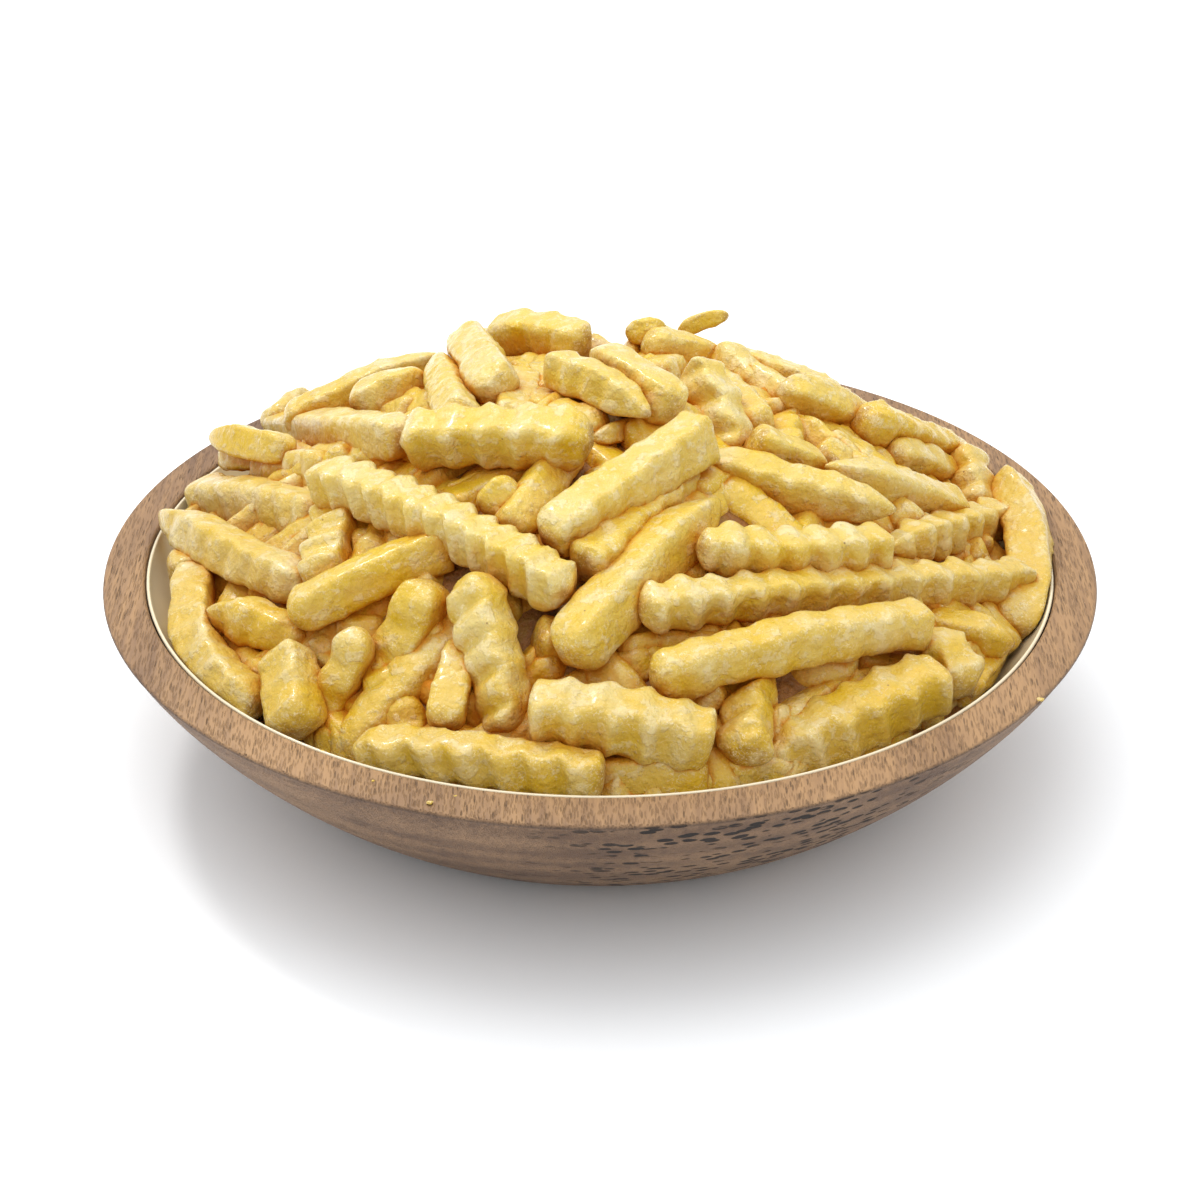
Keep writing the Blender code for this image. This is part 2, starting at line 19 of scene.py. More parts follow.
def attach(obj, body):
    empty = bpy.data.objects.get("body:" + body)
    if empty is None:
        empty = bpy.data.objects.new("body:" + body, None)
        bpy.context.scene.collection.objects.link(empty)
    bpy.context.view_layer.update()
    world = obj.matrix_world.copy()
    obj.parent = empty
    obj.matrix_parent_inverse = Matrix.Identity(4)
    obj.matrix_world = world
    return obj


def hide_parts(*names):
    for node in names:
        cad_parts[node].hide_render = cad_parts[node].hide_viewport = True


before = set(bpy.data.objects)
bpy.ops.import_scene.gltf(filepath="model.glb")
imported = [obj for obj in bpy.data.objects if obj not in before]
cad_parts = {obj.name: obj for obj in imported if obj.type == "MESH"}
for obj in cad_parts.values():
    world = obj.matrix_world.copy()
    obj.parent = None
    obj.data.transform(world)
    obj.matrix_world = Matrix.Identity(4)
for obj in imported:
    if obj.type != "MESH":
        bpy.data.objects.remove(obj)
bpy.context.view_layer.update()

bl_info = {
    "name": "Bowl of crinkle-cut fries",
    "version": (1, 0, 0),
    "blender": (4, 5, 0),
    "location": "3D View > Sidebar > Fries",
    "description": "Builds the turned bowl, its enamel lining and a heap of crinkle-cut fries",
    "category": "Object",
}

MM = 0.001
BODY = "root"

# The bowl
RIM_RADIUS = 125.0
RIM_HEIGHT = 49.0
RIM_CROWN = 1.0
RIM_BEVEL = 0.9
MOUTH_RADIUS = 114.6
FOOT_RADIUS = 74.0
FLANK_POWER = 1.24
FLOOR_HEIGHT = 10.0
FLOOR_RADIUS = 40.0
HOLLOW_POWER = 1.6
WALL_RINGS = 44
BEVEL_STEPS = 5
RING_CROWDING = 1.7

# Between what heights, in metres, the wood turns into the rim's, above the flank's painted shade, and its
# dark crease, a painted shade, begins
RIM_FROM = ((RIM_HEIGHT - 0.9) * MM, (RIM_HEIGHT - 0.1) * MM)
CREASE_FROM = ((RIM_HEIGHT - 1.6) * MM, (RIM_HEIGHT - 1.0) * MM)

# The pits that the turning tore out of the flank: their colour, where across the front they are, in metres,
# and how their rows lean
TORN = (0.012, 0.009, 0.008)
TORN_MIDDLE = 0.034
TORN_TILT = 0.14

# Small touches of colour on the fries and the enamel, the frost partly and the glints wholly painted
# highlight; between what heights, in metres, those low down fade out, the fries' low tint being painted
# shade; and how much darker the core's depths, as painted shade, and the floor's clouds are
PALE_PATCH = (0.71, 0.60, 0.34)
FROST_AND_GLINTS = (0.82, 0.71, 0.45)
BURNT_SPECK = (0.16, 0.055, 0.012)
ENAMEL_SPECK = (0.55, 0.40, 0.22)
OILY = (0.90, 0.78, 0.56)
LOW_ENAMEL = (0.034, 0.049)
LOW_SHADE_TINT = (0.85, 0.77, 0.64)
LOW_FRIES_SHADE = (0.045, 0.095)
BLACK = (0.0, 0.0, 0.0)
CORE_SHADE_DARKER = 0.6
FLOOR_DARKER = 0.015

# The studio: its backdrop, how bright that still is at the horizon, how far the floor reaches, and each
# lamp's size and place, in metres, and their aim
BACKDROP = (0.95, 0.975, 1.0, 1.0)
HORIZON = 0.35
FLOOR_REACH = 4.0
OVERHEAD = (1.2, (-0.08, 0.25, 1.4))
GLINT = (0.16, (-0.45, 0.45, 0.9))
LAMP_AIM = (0.0, 0.0, 0.05)

# The enamel lining
CLEARANCE = 0.3
LINING_THICKNESS = 0.9
LINING_DROP = 0.4

# The heap: its outer skin is an even dome that stands on the rim, over a deeper core
DOME_HEIGHT = 54.0
DOME_RADIUS = 113.0
CORE_DEPTH = 18.0
CORE_GAP = 1.4
CORE_RIM = 39.0
CORE_RINGS = 26
CORE_STEPS = 160
SKIN_TO_MIDDLE = 6.0

# A fry's thickness as a share of its width, and how far it follows the curve of the heap
FRY_THICKNESS = 0.9
FOLLOW = 0.5

# How finely the wall is measured for what rests on it, over how much height its slope is taken, and the
# most that it counts for
MEASURED_RINGS = 40
SLOPE_SPAN = 1.0
MOST_SLOPE = 4.0

# The shortest length that a vector is divided by, and the share of a fry over which its direction is taken
TINY = 1e-6
NEARBY = 0.02

# The plain body by which a fry finds its rest: ridges and furrows as alternate stations
RIPPLE_PITCH = 9.0
RIPPLE_DEPTH = 1.25
EDGE_RIPPLE = 0.45
STATION_LENGTH = 18.0

# The sight plane stands through the bowl's middle, square to the line of sight from the front
SIGHT_ANGLE = math.radians(28.9)
SIGHT_DISTANCE = 768.0
SIGHT_HEIGHT = 36.2

# The fries that are laid to a rule, out of sight behind and below
SEED = 11
SPREAD_RADIUS = 105.0
ENDS_RADIUS = 104.0
SHORTEST = 42.0
LONGEST = 74.0
RULED_WIDTHS = (11.0, 15.0)
RULED_ROLLS = (0.0, 50.0)
MOST_BOWED = 3.0
BACK_COUNT = 84
BACK_TURN = 1.1
BACK_FROM = 40.0
UNDER_COUNT = 52
UNDER_TURN = 0.4
UNDER_DEPTH = 9.0

# Kinds of cut and of ends
CRINKLED = 1.0
STEPPED = 0.9
RIBBED = 0.45
SMOOTH = 0.0
ROUND = 0.62
BLUNT = 0.88
POINTED = 0.28

Laid = namedtuple(
    "Laid", "from_across from_up to_across to_up width bow roll cut tone start end", defaults=(ROUND, ROUND)
)

# One line for each fry that shows from the front, those that lie lowest first: where its two ends are on
# the sight plane, how wide it looks, how far it bows to its left, its roll in degrees, how it is cut, its
# tone from -1, deep golden, to 1, pale cream, and the shapes of its ends where they aren't round
LAID_FRIES = (
    # Half-hidden pieces of the lower layer, their deeper tones partly painted shade
    Laid(-22, 44, -20, 57, 10, 0, 0, RIBBED, 0.0),
    Laid(-35, -10, -40, -33, 9, 0, 10, SMOOTH, -0.3),
    Laid(-17, -10, 6, -14, 14, 0, 35, SMOOTH, -0.3, BLUNT),
    Laid(-4, 8, 28, 34, 14, 0, 40, RIBBED, -0.2, BLUNT, BLUNT),
    Laid(-24, 17, -7, 39, 10, 0, 10, SMOOTH, -0.2),
    Laid(-30, 22, -22, 31, 8, 0, 0, SMOOTH, -0.4),
    Laid(-2, 41, 12, 45, 5, 0, 0, SMOOTH, -0.1),
    Laid(46, -18, 66, -17, 12, 1, 0, SMOOTH, -0.3),
    Laid(31, -44, 54, -42, 10, 0, 0, SMOOTH, -0.3),
    Laid(-4, -45, 28, -45, 12, 0, 20, SMOOTH, -0.3),
    Laid(93, -24, 100, -12, 8, 0, 0, SMOOTH, -0.5),
    Laid(20, -21, 31, -27, 9, 0, 0, SMOOTH, -0.2),
    # The left wall and the rim at the left
    Laid(-115, 5, -99, 8, 13, 0, 20, SMOOTH, -0.4, BLUNT),
    Laid(-112, 24, -86, 35, 7, 0, 0, SMOOTH, -0.5, POINTED),
    Laid(-87, 32, -68, 33, 10, 0, 0, RIBBED, -0.2),
    Laid(-97, 36, -84, 37, 6, 0, 0, SMOOTH, -0.4),
    Laid(-100, 42, -79, 38, 8, 0, 0, SMOOTH, -0.6, POINTED),
    Laid(-85, 43, -73, 51, 11, 0, 0, SMOOTH, 0.0),
    Laid(-82, 43, -50, 41, 13, 1, 20, SMOOTH, 0.5),
    Laid(-113, 22, -74, 3, 13, -1, 25, RIBBED, 0.3, POINTED),
    Laid(-102, 26, -70, 20, 14, 1, 20, RIBBED, 0.5),
    Laid(-102, 11, -88, -28, 12, -8, 20, RIBBED, 0.2),
    # The left of the front face
    Laid(-65, 28, -71, 3, 14, 0, 40, CRINKLED, -0.1),
    Laid(-44, 5, -74, -40, 15, 4, 30, RIBBED, -0.3, ROUND, POINTED),
    Laid(-61, -7, -71, -31, 11, 0, 20, RIBBED, -0.1),
    Laid(-101, -3, -74, -12, 12, 1, 20, RIBBED, -0.3, POINTED),
    Laid(-81, -12, -79, -36, 15, 0, 40, RIBBED, 0.1, ROUND, BLUNT),
    Laid(-79, -5, -38, 14, 12, 1, 15, SMOOTH, -0.5, ROUND, BLUNT),
    Laid(-34, 6, -23, -35, 15, 1, 40, CRINKLED, 0.6),
    # The crown
    Laid(-80, 44, -40, 63, 11, 1, 20, RIBBED, -0.1, ROUND, POINTED),
    Laid(-64, 50, -43, 56, 11, 0, 10, RIBBED, 0.1),
    Laid(-42, 62, -36, 46, 12, 0, 30, SMOOTH, -0.2, POINTED),
    Laid(-26, 67, -4, 65, 13, 2, 30, RIBBED, -0.1, BLUNT, BLUNT),
    Laid(-34, 67, -26, 54, 12, 0, 10, SMOOTH, 0.5),
    Laid(7, 68, 17, 70, 6, 1, 0, SMOOTH, -0.2),
    Laid(-1, 63, 19, 49, 13, 1, 30, SMOOTH, 0.4),
    Laid(11, 66, 30, 61, 11, 0, 10, SMOOTH, 0.2),
    Laid(20, 68, 33, 73, 4, 1, 0, SMOOTH, -0.3),
    Laid(-13, 60, 13, 47, 11, 1, 20, RIBBED, 0.1, ROUND, POINTED),
    Laid(24, 60, 35, 36, 13, 1, 30, CRINKLED, 0.4),
    # The back right
    Laid(30, 62, 62, 51, 9, 1, 10, SMOOTH, 0.3),
    Laid(37, 58, 50, 49, 9, 0, 0, SMOOTH, 0.2),
    Laid(46, 54, 74, 40, 13, 1, 35, SMOOTH, 0.0, ROUND, BLUNT),
    Laid(67, 46, 93, 35, 12, 1, 20, RIBBED, -0.6),
    Laid(74, 37, 91, 30, 12, 1, 30, RIBBED, 0.2),
    Laid(92, 39, 96, 21, 12, 1, 30, CRINKLED, 0.5),
    Laid(30, 64, 79, 30, 12, -4, 20, RIBBED, 0.2, ROUND, POINTED),
    Laid(38, 40, 57, 33, 12, 0, 20, RIBBED, -0.1, BLUNT),
    Laid(58, 35, 93, 23, 12, 0, 20, SMOOTH, 0.0, POINTED),
    Laid(19, 38, 76, 23, 13, -1, 35, RIBBED, 0.3, POINTED, POINTED),
    # The right wall
    Laid(103, 31, 108, -11, 12, 6, 10, SMOOTH, 0.0),
    Laid(82, -7, 111, -15, 13, 0, 30, SMOOTH, -0.6, ROUND, POINTED),
    Laid(73, 13, 105, 22, 12, 0, 30, CRINKLED, 0.2, POINTED),
    Laid(82, -9, 96, -25, 15, 0, 40, CRINKLED, 0.1),
    # The middle of the front face
    Laid(-73, 31, -8, 1, 14, 3, 40, STEPPED, 0.3),
    Laid(-40, 28, -28, 34, 4, -1, 0, SMOOTH, -0.7, ROUND, POINTED),
    Laid(-50, 40, -2, 40, 16, 2, 40, CRINKLED, 0.1),
    Laid(-14, 15, 27, 43, 15, 0, 40, RIBBED, 0.0, ROUND, BLUNT),
    Laid(-9, -15, 31, 26, 16, 1, 35, SMOOTH, -0.1, ROUND, POINTED),
    Laid(25, 14, 74, 14, 13, -2, 35, CRINKLED, 0.3, ROUND, BLUNT),
    Laid(10, -2, 110, 5, 12, 1, 35, CRINKLED, 0.1),
    # The front
    Laid(-63, -38, 1, -46, 13, 1, 35, CRINKLED, -0.1, ROUND, BLUNT),
    Laid(37, -44, 87, -20, 17, 0, 45, CRINKLED, -0.3, POINTED, BLUNT),
    Laid(39, -16, 37, -40, 13, 0, 30, CRINKLED, -0.3, BLUNT, BLUNT),
    Laid(13, -21, 83, -6, 14, 2, 35, RIBBED, 0.0, ROUND, BLUNT),
    Laid(-18, -29, 29, -36, 17, 1, 40, CRINKLED, 0.1, BLUNT, BLUNT),
)

# How the fries settle: places along each, how near they lie, how far one may sink and tilt, and how often
# one is moved clear of the bowl
SHARES = np.linspace(0.05, 0.95, 9)
REACH = 0.46
WALL_REACH = 0.25
LEAN_ON_RIM = 12
BY_RULE = ("under", "back", "fill")
WIDEST = 14.0
PACKING = 0.80
DEEPEST = -20.0
DEEP = 30.0
HIDING = 0.55
STEEPEST = 24.0
TOUCHING = 0.01
ROUNDS = 3
FACING = 0.35
SINK_STEP = 0.8
SINK_STEPS = 40

# The fry as it really is: how fine its skin is made, how much deeper its colour is made down in the heap as
# painted shade, and how its ends, its ripples and its corners are shaped
FINE = (0.85, 8)
PLAIN = (1.3, 5)
ROUGH = (1.8, 4)
IN_SHADE = 0.12
END_LENGTH = {ROUND: 5.5, BLUNT: 2.8, POINTED: 17.0}
END_POWER = {ROUND: 2.1, BLUNT: 2.6, POINTED: 1.45}
CAP_SHARE = 0.72
FURROW = 0.22
CRESTED_SHARE = 0.35
STEP_SHARE = 0.72
FULLER = 1.07
CORNERS = (3.8, 7.0)

# How one fry differs from the next: the length of its ends, and at most what share of the whole that is;
# how it tapers; its ripples' pitch, how they run askew, how far those underneath are out of step, and how
# they fade out at its ends and show on its edges; its twist in degrees and its tone
TIP_VARIES = (0.8, 1.3)
TIP_MOST = 0.4
TAPER_WIDE = 0.10
TAPER_THICK = 0.08
PITCH_VARIES = (0.88, 1.1)
SKEW = 0.22
UNDER_SHIFT = 0.2
RIPPLE_FADE = 0.3
EDGE_WAVE = 0.18
TWIST = 16.0
TONE_VARIES = 0.15

# A fry's skin: how large its lumps, knobs, rags and blisters are, where a blister begins and how much one
# fry is blistered, how sharp a corner has to be to wear, how much of the skin's relief is left at the tips,
# how far in those are crisp, and how far the skin stays off the bowl
LUMP_SIZE = 12.0
KNOB_SIZE = 4.2
RAG_SIZE = 1.5
BLISTER_SIZE = 2.3
BLISTER_FROM = 0.12
BLISTERED = (0.1, 1.0)
CORNER_SHARP = 0.12
TIP_SKIN = 0.35
CRISP_LENGTH = 5.0
SKIN_CLEARANCE = 0.5

# The loose fries that fill the gaps between the others, close over the core
FILL_COUNT = 125
FILL_RADIUS = 104.0
FILL_TURN = 2.2
FILL_SHORTER = 0.8
FILL_TONES = (-0.6, 0.2)
FILL_WIDTHS = (11.0, 14.0)
FILL_ROLLS = (0.0, 80.0)
FILL_LIFT = 2.5
FILL_DROP = -2.0
WALL_LIFT = -2.0
WALL_COUNT = 34
WALL_RADIUS = 102.0
WALL_SWAY = 0.5

# How openness to the light is felt for at each point, in metres and degrees
RAY_COUNT = 6
RAY_LEAN = 48.0
RAY_START = 0.0004
RAY_REACH = 0.022

# Crumbs on the rim: their places on the sight plane and sizes, and how lumpy, how deep and how flat they are
CRUMBS = (
    (-43.5, -52.0, 1.5),
    (-37.1, -50.5, 1.2),
    (112.7, -25.6, 1.6),
    (-71.2, -38.7, 1.0),
    (-58.0, -46.4, 0.8),
)
CRUMB_SEED = 5
CRUMB_LUMPS = 0.5
CRUMB_DETAIL = 1.3
CRUMB_DEPTHS = (0.6, 1.0)
CRUMB_FLAT = 0.45
CRUMB_LIFT = 0.12
CRUMB_FACTS = {"tone": -0.3, "ridge": 0.0, "crisp": 0.4, "blister": 0.2, "open": 1.0}


def unit(vectors):
    """One vector or many, at a length of 1."""
    return vectors / np.linalg.norm(vectors, axis=-1, keepdims=True).clip(TINY)


def superellipse(depth, power):
    """Share of the reach that is left at a depth from 0, the top, to 1, the bottom."""
    return (1.0 - np.clip(depth, 0.0, 1.0) ** power) ** (1.0 / power)


def flank_radius(height):
    """Radius of the bowl's outside at a height above the ground."""
    return FOOT_RADIUS + (RIM_RADIUS - FOOT_RADIUS) * superellipse(1.0 - height / RIM_HEIGHT, FLANK_POWER)


def hollow_radius(height, inset=0.0):
    """Radius of the wooden hollow at a height, drawn in by an inset for what lines or fills it."""
    top = RIM_HEIGHT + RIM_CROWN
    floor = FLOOR_HEIGHT + inset
    depth = (top - height) / (top - floor)
    return FLOOR_RADIUS + (MOUTH_RADIUS - inset - FLOOR_RADIUS) * superellipse(depth, HOLLOW_POWER)


def spaced(first, last, count):
    """Evenly spaced values, the last one included."""
    return [first + (last - first) * step / count for step in range(count + 1)]


def hollow_wall(inset, top, rings):
    """Half section of the hollow from the floor up, closer together near the floor where the wall turns."""
    floor = FLOOR_HEIGHT + inset
    heights = [floor + (top - floor) * share**RING_CROWDING for share in spaced(0.0, 1.0, rings)]
    return [(hollow_radius(height, inset), height) for height in heights]


def dome_height(x, y):
    """Height of the heap's even outer skin over a place."""
    return RIM_HEIGHT + RIM_CROWN + DOME_HEIGHT * (1.0 - (x * x + y * y) / DOME_RADIUS**2)


def dome_normal(x, y):
    """Direction straight out of the heap's skin over a place."""
    slope = 2.0 * DOME_HEIGHT / DOME_RADIUS**2
    return unit(np.array([slope * x, slope * y, 1.0]))


EYE = np.array(
    [0.0, -SIGHT_DISTANCE * math.cos(SIGHT_ANGLE), SIGHT_HEIGHT + SIGHT_DISTANCE * math.sin(SIGHT_ANGLE)]
)
SIGHT_REACH = np.linspace(0.80, 1.20, 401)
SIGHT_RIGHT = np.array([1.0, 0.0, 0.0])
SIGHT_UP = np.array([0.0, math.sin(SIGHT_ANGLE), math.cos(SIGHT_ANGLE)])


def along_sight(across, up):
    """Points on the line of sight through a place on the sight plane, the nearest first."""
    through = np.array([0.0, 0.0, SIGHT_HEIGHT]) + across * SIGHT_RIGHT + up * SIGHT_UP
    return EYE + SIGHT_REACH[:, None] * (through - EYE)


def on_the_heap(across, up):
    """Where the line of sight meets the layer of the fries' middles."""
    points = along_sight(across, up)
    above = points[:, 2] - dome_height(points[:, 0], points[:, 1]) + SKIN_TO_MIDDLE
    inside = np.nonzero(above <= 0.0)[0]
    return points[inside[0] if len(inside) else np.argmin(above)]


class Heap:
    """Every fry's ends, outward direction, bow, size and cut, in the order in which they lie."""

    MEASURES = ("ends", "out", "bow", "width", "shift")

    def __init__(self):
        for name in (*self.MEASURES, "kind", "tone", "roll", "cut", "tips"):
            setattr(self, name, [])

    def add(self, **fry):
        for name, value in fry.items():
            getattr(self, name).append(value)
        self.shift.append((0.0, 0.0, 0.0))

    def close(self):
        for name in self.MEASURES:
            setattr(self, name, np.array(getattr(self, name)))

    def middle_lines(self, shares, some=slice(None)):
        """Points along the middle line of every fry, or of some, at shares of its length."""
        chord = self.ends[some, 1] - self.ends[some, 0]
        side = unit(np.cross(self.out[some], chord))
        crown = FOLLOW * (chord**2).sum(axis=1) / (8.0 * DOME_RADIUS)
        lift = side * self.bow[some, None] + self.out[some] * crown[:, None]
        t = shares[None, :, None]
        straight = self.ends[some, 0][:, None] * (1.0 - t) + self.ends[some, 1][:, None] * t
        return straight + lift[:, None] * (4.0 * t * (1.0 - t))

    def middle_line(self, index, shares):
        """Points along one fry's middle line."""
        return self.middle_lines(shares, slice(index, index + 1))[0]

    def half_widths(self):
        """Half of each fry's width, for how near another may lie."""
        return self.width.clip(0.0, WIDEST) * REACH


def scattered(count, first_turn, spread):
    """Places spread evenly over the dome on a sunflower spiral."""
    for index in range(count):
        radius = spread * math.sqrt((index + 0.5) / count)
        turn = first_turn + index * math.pi * (3.0 - math.sqrt(5.0))
        yield radius * math.cos(turn), radius * math.sin(turn)


def ends_about(x, y, length, turn, furthest, height):
    """A fry's two ends about a place, each drawn in to a furthest radius, at the height there."""
    ends = []
    for half in (-0.5, 0.5):
        end_x = x + half * length * math.cos(turn)
        end_y = y + half * length * math.sin(turn)
        over = max(1.0, math.hypot(end_x, end_y) / furthest)
        ends.append((end_x / over, end_y / over, height(end_x / over, end_y / over)))
    return ends


def random_tips(draw):
    """Shapes for a fry's two ends."""
    return draw.choice((ROUND, BLUNT)), draw.choice((ROUND, BLUNT, POINTED))


def lay_by_rule(heap, draw, x, y, depth, cuts, kind):
    """Lay one fry over a place, turned at random, its ends kept inside the bowl's mouth."""
    length = draw.uniform(SHORTEST, LONGEST)
    turn = draw.uniform(0.0, math.pi)
    below = SKIN_TO_MIDDLE + depth
    heap.add(
        kind=kind,
        tone=0.5 * math.sin(37.0 * x + 11.0 * y),
        ends=ends_about(x, y, length, turn, ENDS_RADIUS, lambda x, y: dome_height(x, y) - below),
        out=dome_normal(x, y),
        cut=draw.choice(cuts),
        tips=random_tips(draw),
        bow=draw.uniform(-MOST_BOWED, MOST_BOWED),
        width=draw.uniform(*RULED_WIDTHS),
        roll=draw.uniform(*RULED_ROLLS),
    )


def gather_heap():
    """All the fries: an under layer, the back of the heap, then those laid out as seen from the front."""
    draw = random.Random(SEED)
    heap = Heap()
    for x, y in scattered(UNDER_COUNT, UNDER_TURN, SPREAD_RADIUS):
        if y < BACK_FROM:
            lay_by_rule(heap, draw, x, y, UNDER_DEPTH, (SMOOTH,), "under")
    for x, y in scattered(BACK_COUNT, BACK_TURN, SPREAD_RADIUS):
        if y > BACK_FROM:
            lay_by_rule(heap, draw, x, y, 0.0, (CRINKLED, CRINKLED, RIBBED, SMOOTH), "back")
    for fry in LAID_FRIES:
        start = on_the_heap(fry.from_across, fry.from_up)
        end = on_the_heap(fry.to_across, fry.to_up)
        heap.add(
            kind="crinkled" if fry.cut > RIBBED else "ribbed" if fry.cut == RIBBED else "smooth",
            tone=fry.tone,
            ends=(start, end),
            out=unit(EYE - (start + end) / 2.0),
            cut=fry.cut,
            tips=(fry.start, fry.end),
            bow=fry.bow,
            width=fry.width,
            roll=fry.roll,
        )
    heap.close()
    return heap


@functools.lru_cache
def lined_wall():
    """The lining's radius at heights from its floor up to the bowl's top, and those heights."""
    return np.array(hollow_wall(CLEARANCE + LINING_THICKNESS, RIM_HEIGHT + RIM_CROWN, MEASURED_RINGS)).T


def room_in_bowl(points):
    """Distance of points from the bowl, measured into the free space, and the way that leads out of it."""
    wall, heights = lined_wall()
    top = heights[-1]
    radius = np.hypot(points[:, 0], points[:, 1])
    height = np.clip(points[:, 2], heights[0], top)
    lower, limit, upper = (np.interp(height + part * SLOPE_SPAN, heights, wall) for part in (-0.5, 0.0, 0.5))
    lean = ((upper - lower) / SLOPE_SPAN).clip(0.0, MOST_SLOPE)
    inward = -points[:, :2] / radius.clip(1.0)[:, None]
    steep = 1.0 / np.sqrt(1.0 + lean**2)
    way = np.column_stack([inward * steep[:, None], lean * steep])
    room = (limit - radius) * steep
    beside = wall[-1] - radius
    above = points[:, 2] - top
    over_rim = above > 0.0
    clear_of_edge = np.where(beside > 0.0, np.hypot(beside, above), above)
    room = np.where(over_rim, clear_of_edge, room)
    way[over_rim & (beside <= 0.0)] = (0.0, 0.0, 1.0)
    return room, way


def line_below(shares, limits):
    """Heights at the two ends of the straight line that lies highest at its middle under all the limits."""
    best = -math.inf
    heights = (0.0, 0.0)
    for first in range(len(shares)):
        apart = shares - shares[first]
        others = np.delete(np.arange(len(shares)), first)
        slopes = [-STEEPEST, 0.0, STEEPEST, *((limits[others] - limits[first]) / apart[others])]
        for slope in slopes:
            middle = limits[first] + slope * (0.5 - shares[first])
            fits = abs(slope) <= STEEPEST and (limits[first] + slope * apart <= limits + TOUCHING).all()
            if fits and middle > best:
                best = middle
                heights = (middle - slope / 2.0, middle + slope / 2.0)
    return heights


def lean_on_rim(heap, index):
    """Where a fry shows over the rim's inner edge, bring that end nearer until it lies on the edge."""
    for end in (0, 1):
        for step in range(LEAN_ON_RIM):
            place = heap.ends[index, end] + step * heap.out[index]
            room = room_in_bowl(place[None])[0][0]
            if room > heap.width[index] * WALL_REACH + CORE_GAP:
                heap.ends[index, end] = place
                break


def apart_from(heap, index, own, others, lines, sense):
    """How far a fry's points may move out, or in for a sense of -1, until they meet those of other fries.

    With it come how far the others' points lie along that way and how far beside it, squared, and how near
    they may come.
    """
    half = heap.half_widths()
    need = PACKING * (half[index] + np.repeat(half[others], len(SHARES)))
    apart = (lines[others].reshape(-1, 3)[None] - own[:, None]) * sense
    along = apart.dot(heap.out[index])
    beside = (apart * apart).sum(axis=2) - along**2
    return along - np.sqrt(np.maximum(need**2 - beside, 0.0)), along, beside, need


def settle(heap):
    """Let the topmost fries keep to the heap's skin, and push each lower one in until it clears them."""
    count = len(heap.width)
    lines = heap.middle_lines(SHARES)
    for index in reversed(range(count)):
        if heap.kind[index] not in BY_RULE:
            lean_on_rim(heap, index)
        keep_in_bowl(heap, index)
        own = heap.middle_line(index, SHARES)
        limits = np.zeros(len(SHARES))
        if index + 1 < count:
            room, along, beside, need = apart_from(heap, index, own, slice(index + 1, None), lines, 1.0)
            hidden = (beside < (HIDING * need) ** 2) & (np.abs(along) < DEEP)
            crossing = (beside + along**2 < need**2) | hidden
            room = np.where(crossing, room, 0.0)
            limits = np.minimum(limits, room.min(axis=1))
        limits = limits.clip(DEEPEST)
        moves = line_below(SHARES, limits)
        heap.ends[index] += np.array(moves)[:, None] * heap.out[index]
        keep_in_bowl(heap, index)
        lines[index] = heap.middle_line(index, SHARES)


def drop(heap):
    """Move each fry that hangs free straight in, lowest first, until it rests on a fry below or the core."""
    half = heap.half_widths()
    for index in range(len(half)):
        lines = heap.middle_lines(SHARES)
        own = lines[index]
        out = heap.out[index]
        middle = own[len(SHARES) // 2]
        to_core = own[:, 2] - dome_height(own[:, 0], own[:, 1]) + CORE_DEPTH
        facing = max(FACING, dome_normal(middle[0], middle[1]).dot(out))
        fall = (to_core.min() - PACKING * half[index]) / facing
        if index:
            gap, along, beside, need = apart_from(heap, index, own, slice(0, index), lines, -1.0)
            fall = min(fall, np.where((beside < need**2) & (along > 0.0), gap, fall).min())
        heap.ends[index] -= max(fall, 0.0) * out
        keep_in_bowl(heap, index)


def keep_in_bowl(heap, index):
    """Move a fry that would cross the bowl, along its outward direction where that leads out."""
    for _ in range(ROUNDS):
        room, way = room_in_bowl(heap.middle_line(index, SHARES))
        reach = REACH if heap.kind[index] in BY_RULE else WALL_REACH
        short = (heap.width[index] * reach + CORE_GAP - room).clip(0.0)
        facing = way.dot(heap.out[index])
        direct = facing > FACING
        step = np.where(direct[:, None], heap.out[index] / np.where(direct, facing, 1.0)[:, None], way)
        step *= short[:, None]
        for end, weight in ((0, 1.0 - SHARES), (1, SHARES)):
            pull = step * weight[:, None]
            heap.ends[index, end] += pull[np.linalg.norm(pull, axis=1).argmax()]


def frames_along(heap, index, shares, roll):
    """Middle line, width axis and thickness axis of one fry at many shares of its length."""
    here = heap.middle_line(index, shares)
    tangent = unit(heap.middle_line(index, shares + NEARBY) - heap.middle_line(index, shares - NEARBY))
    out = unit(heap.out[index] - tangent * tangent.dot(heap.out[index])[:, None])
    side = np.cross(out, tangent)
    across = side * np.cos(roll)[:, None] + out * np.sin(roll)[:, None]
    upward = out * np.cos(roll)[:, None] - side * np.sin(roll)[:, None]
    return here, across, upward


def half_width(heap, index):
    """Half the width of a fry's cut face, from how wide it looks when it is rolled."""
    roll = math.radians(heap.roll[index])
    return heap.width[index] / (math.cos(roll) + FRY_THICKNESS * math.sin(roll)) / 2.0


def square_bar(stations, cuts):
    """A bar along X from -1 to 1 that is cut across into stations, and into strips along each side."""
    mesh = bmesh.new()
    bmesh.ops.create_cube(mesh, size=2.0)
    long_edges = [edge for edge in mesh.edges if abs(edge.verts[0].co.x - edge.verts[1].co.x) > 1.0]
    bmesh.ops.subdivide_edges(mesh, edges=long_edges, cuts=stations - 1, use_grid_fill=True)
    if cuts:
        rings = [edge for edge in mesh.edges if abs(edge.verts[0].co.x - edge.verts[1].co.x) < 1.0 / stations]
        bmesh.ops.subdivide_edges(mesh, edges=rings, cuts=cuts, use_grid_fill=True)
    return mesh


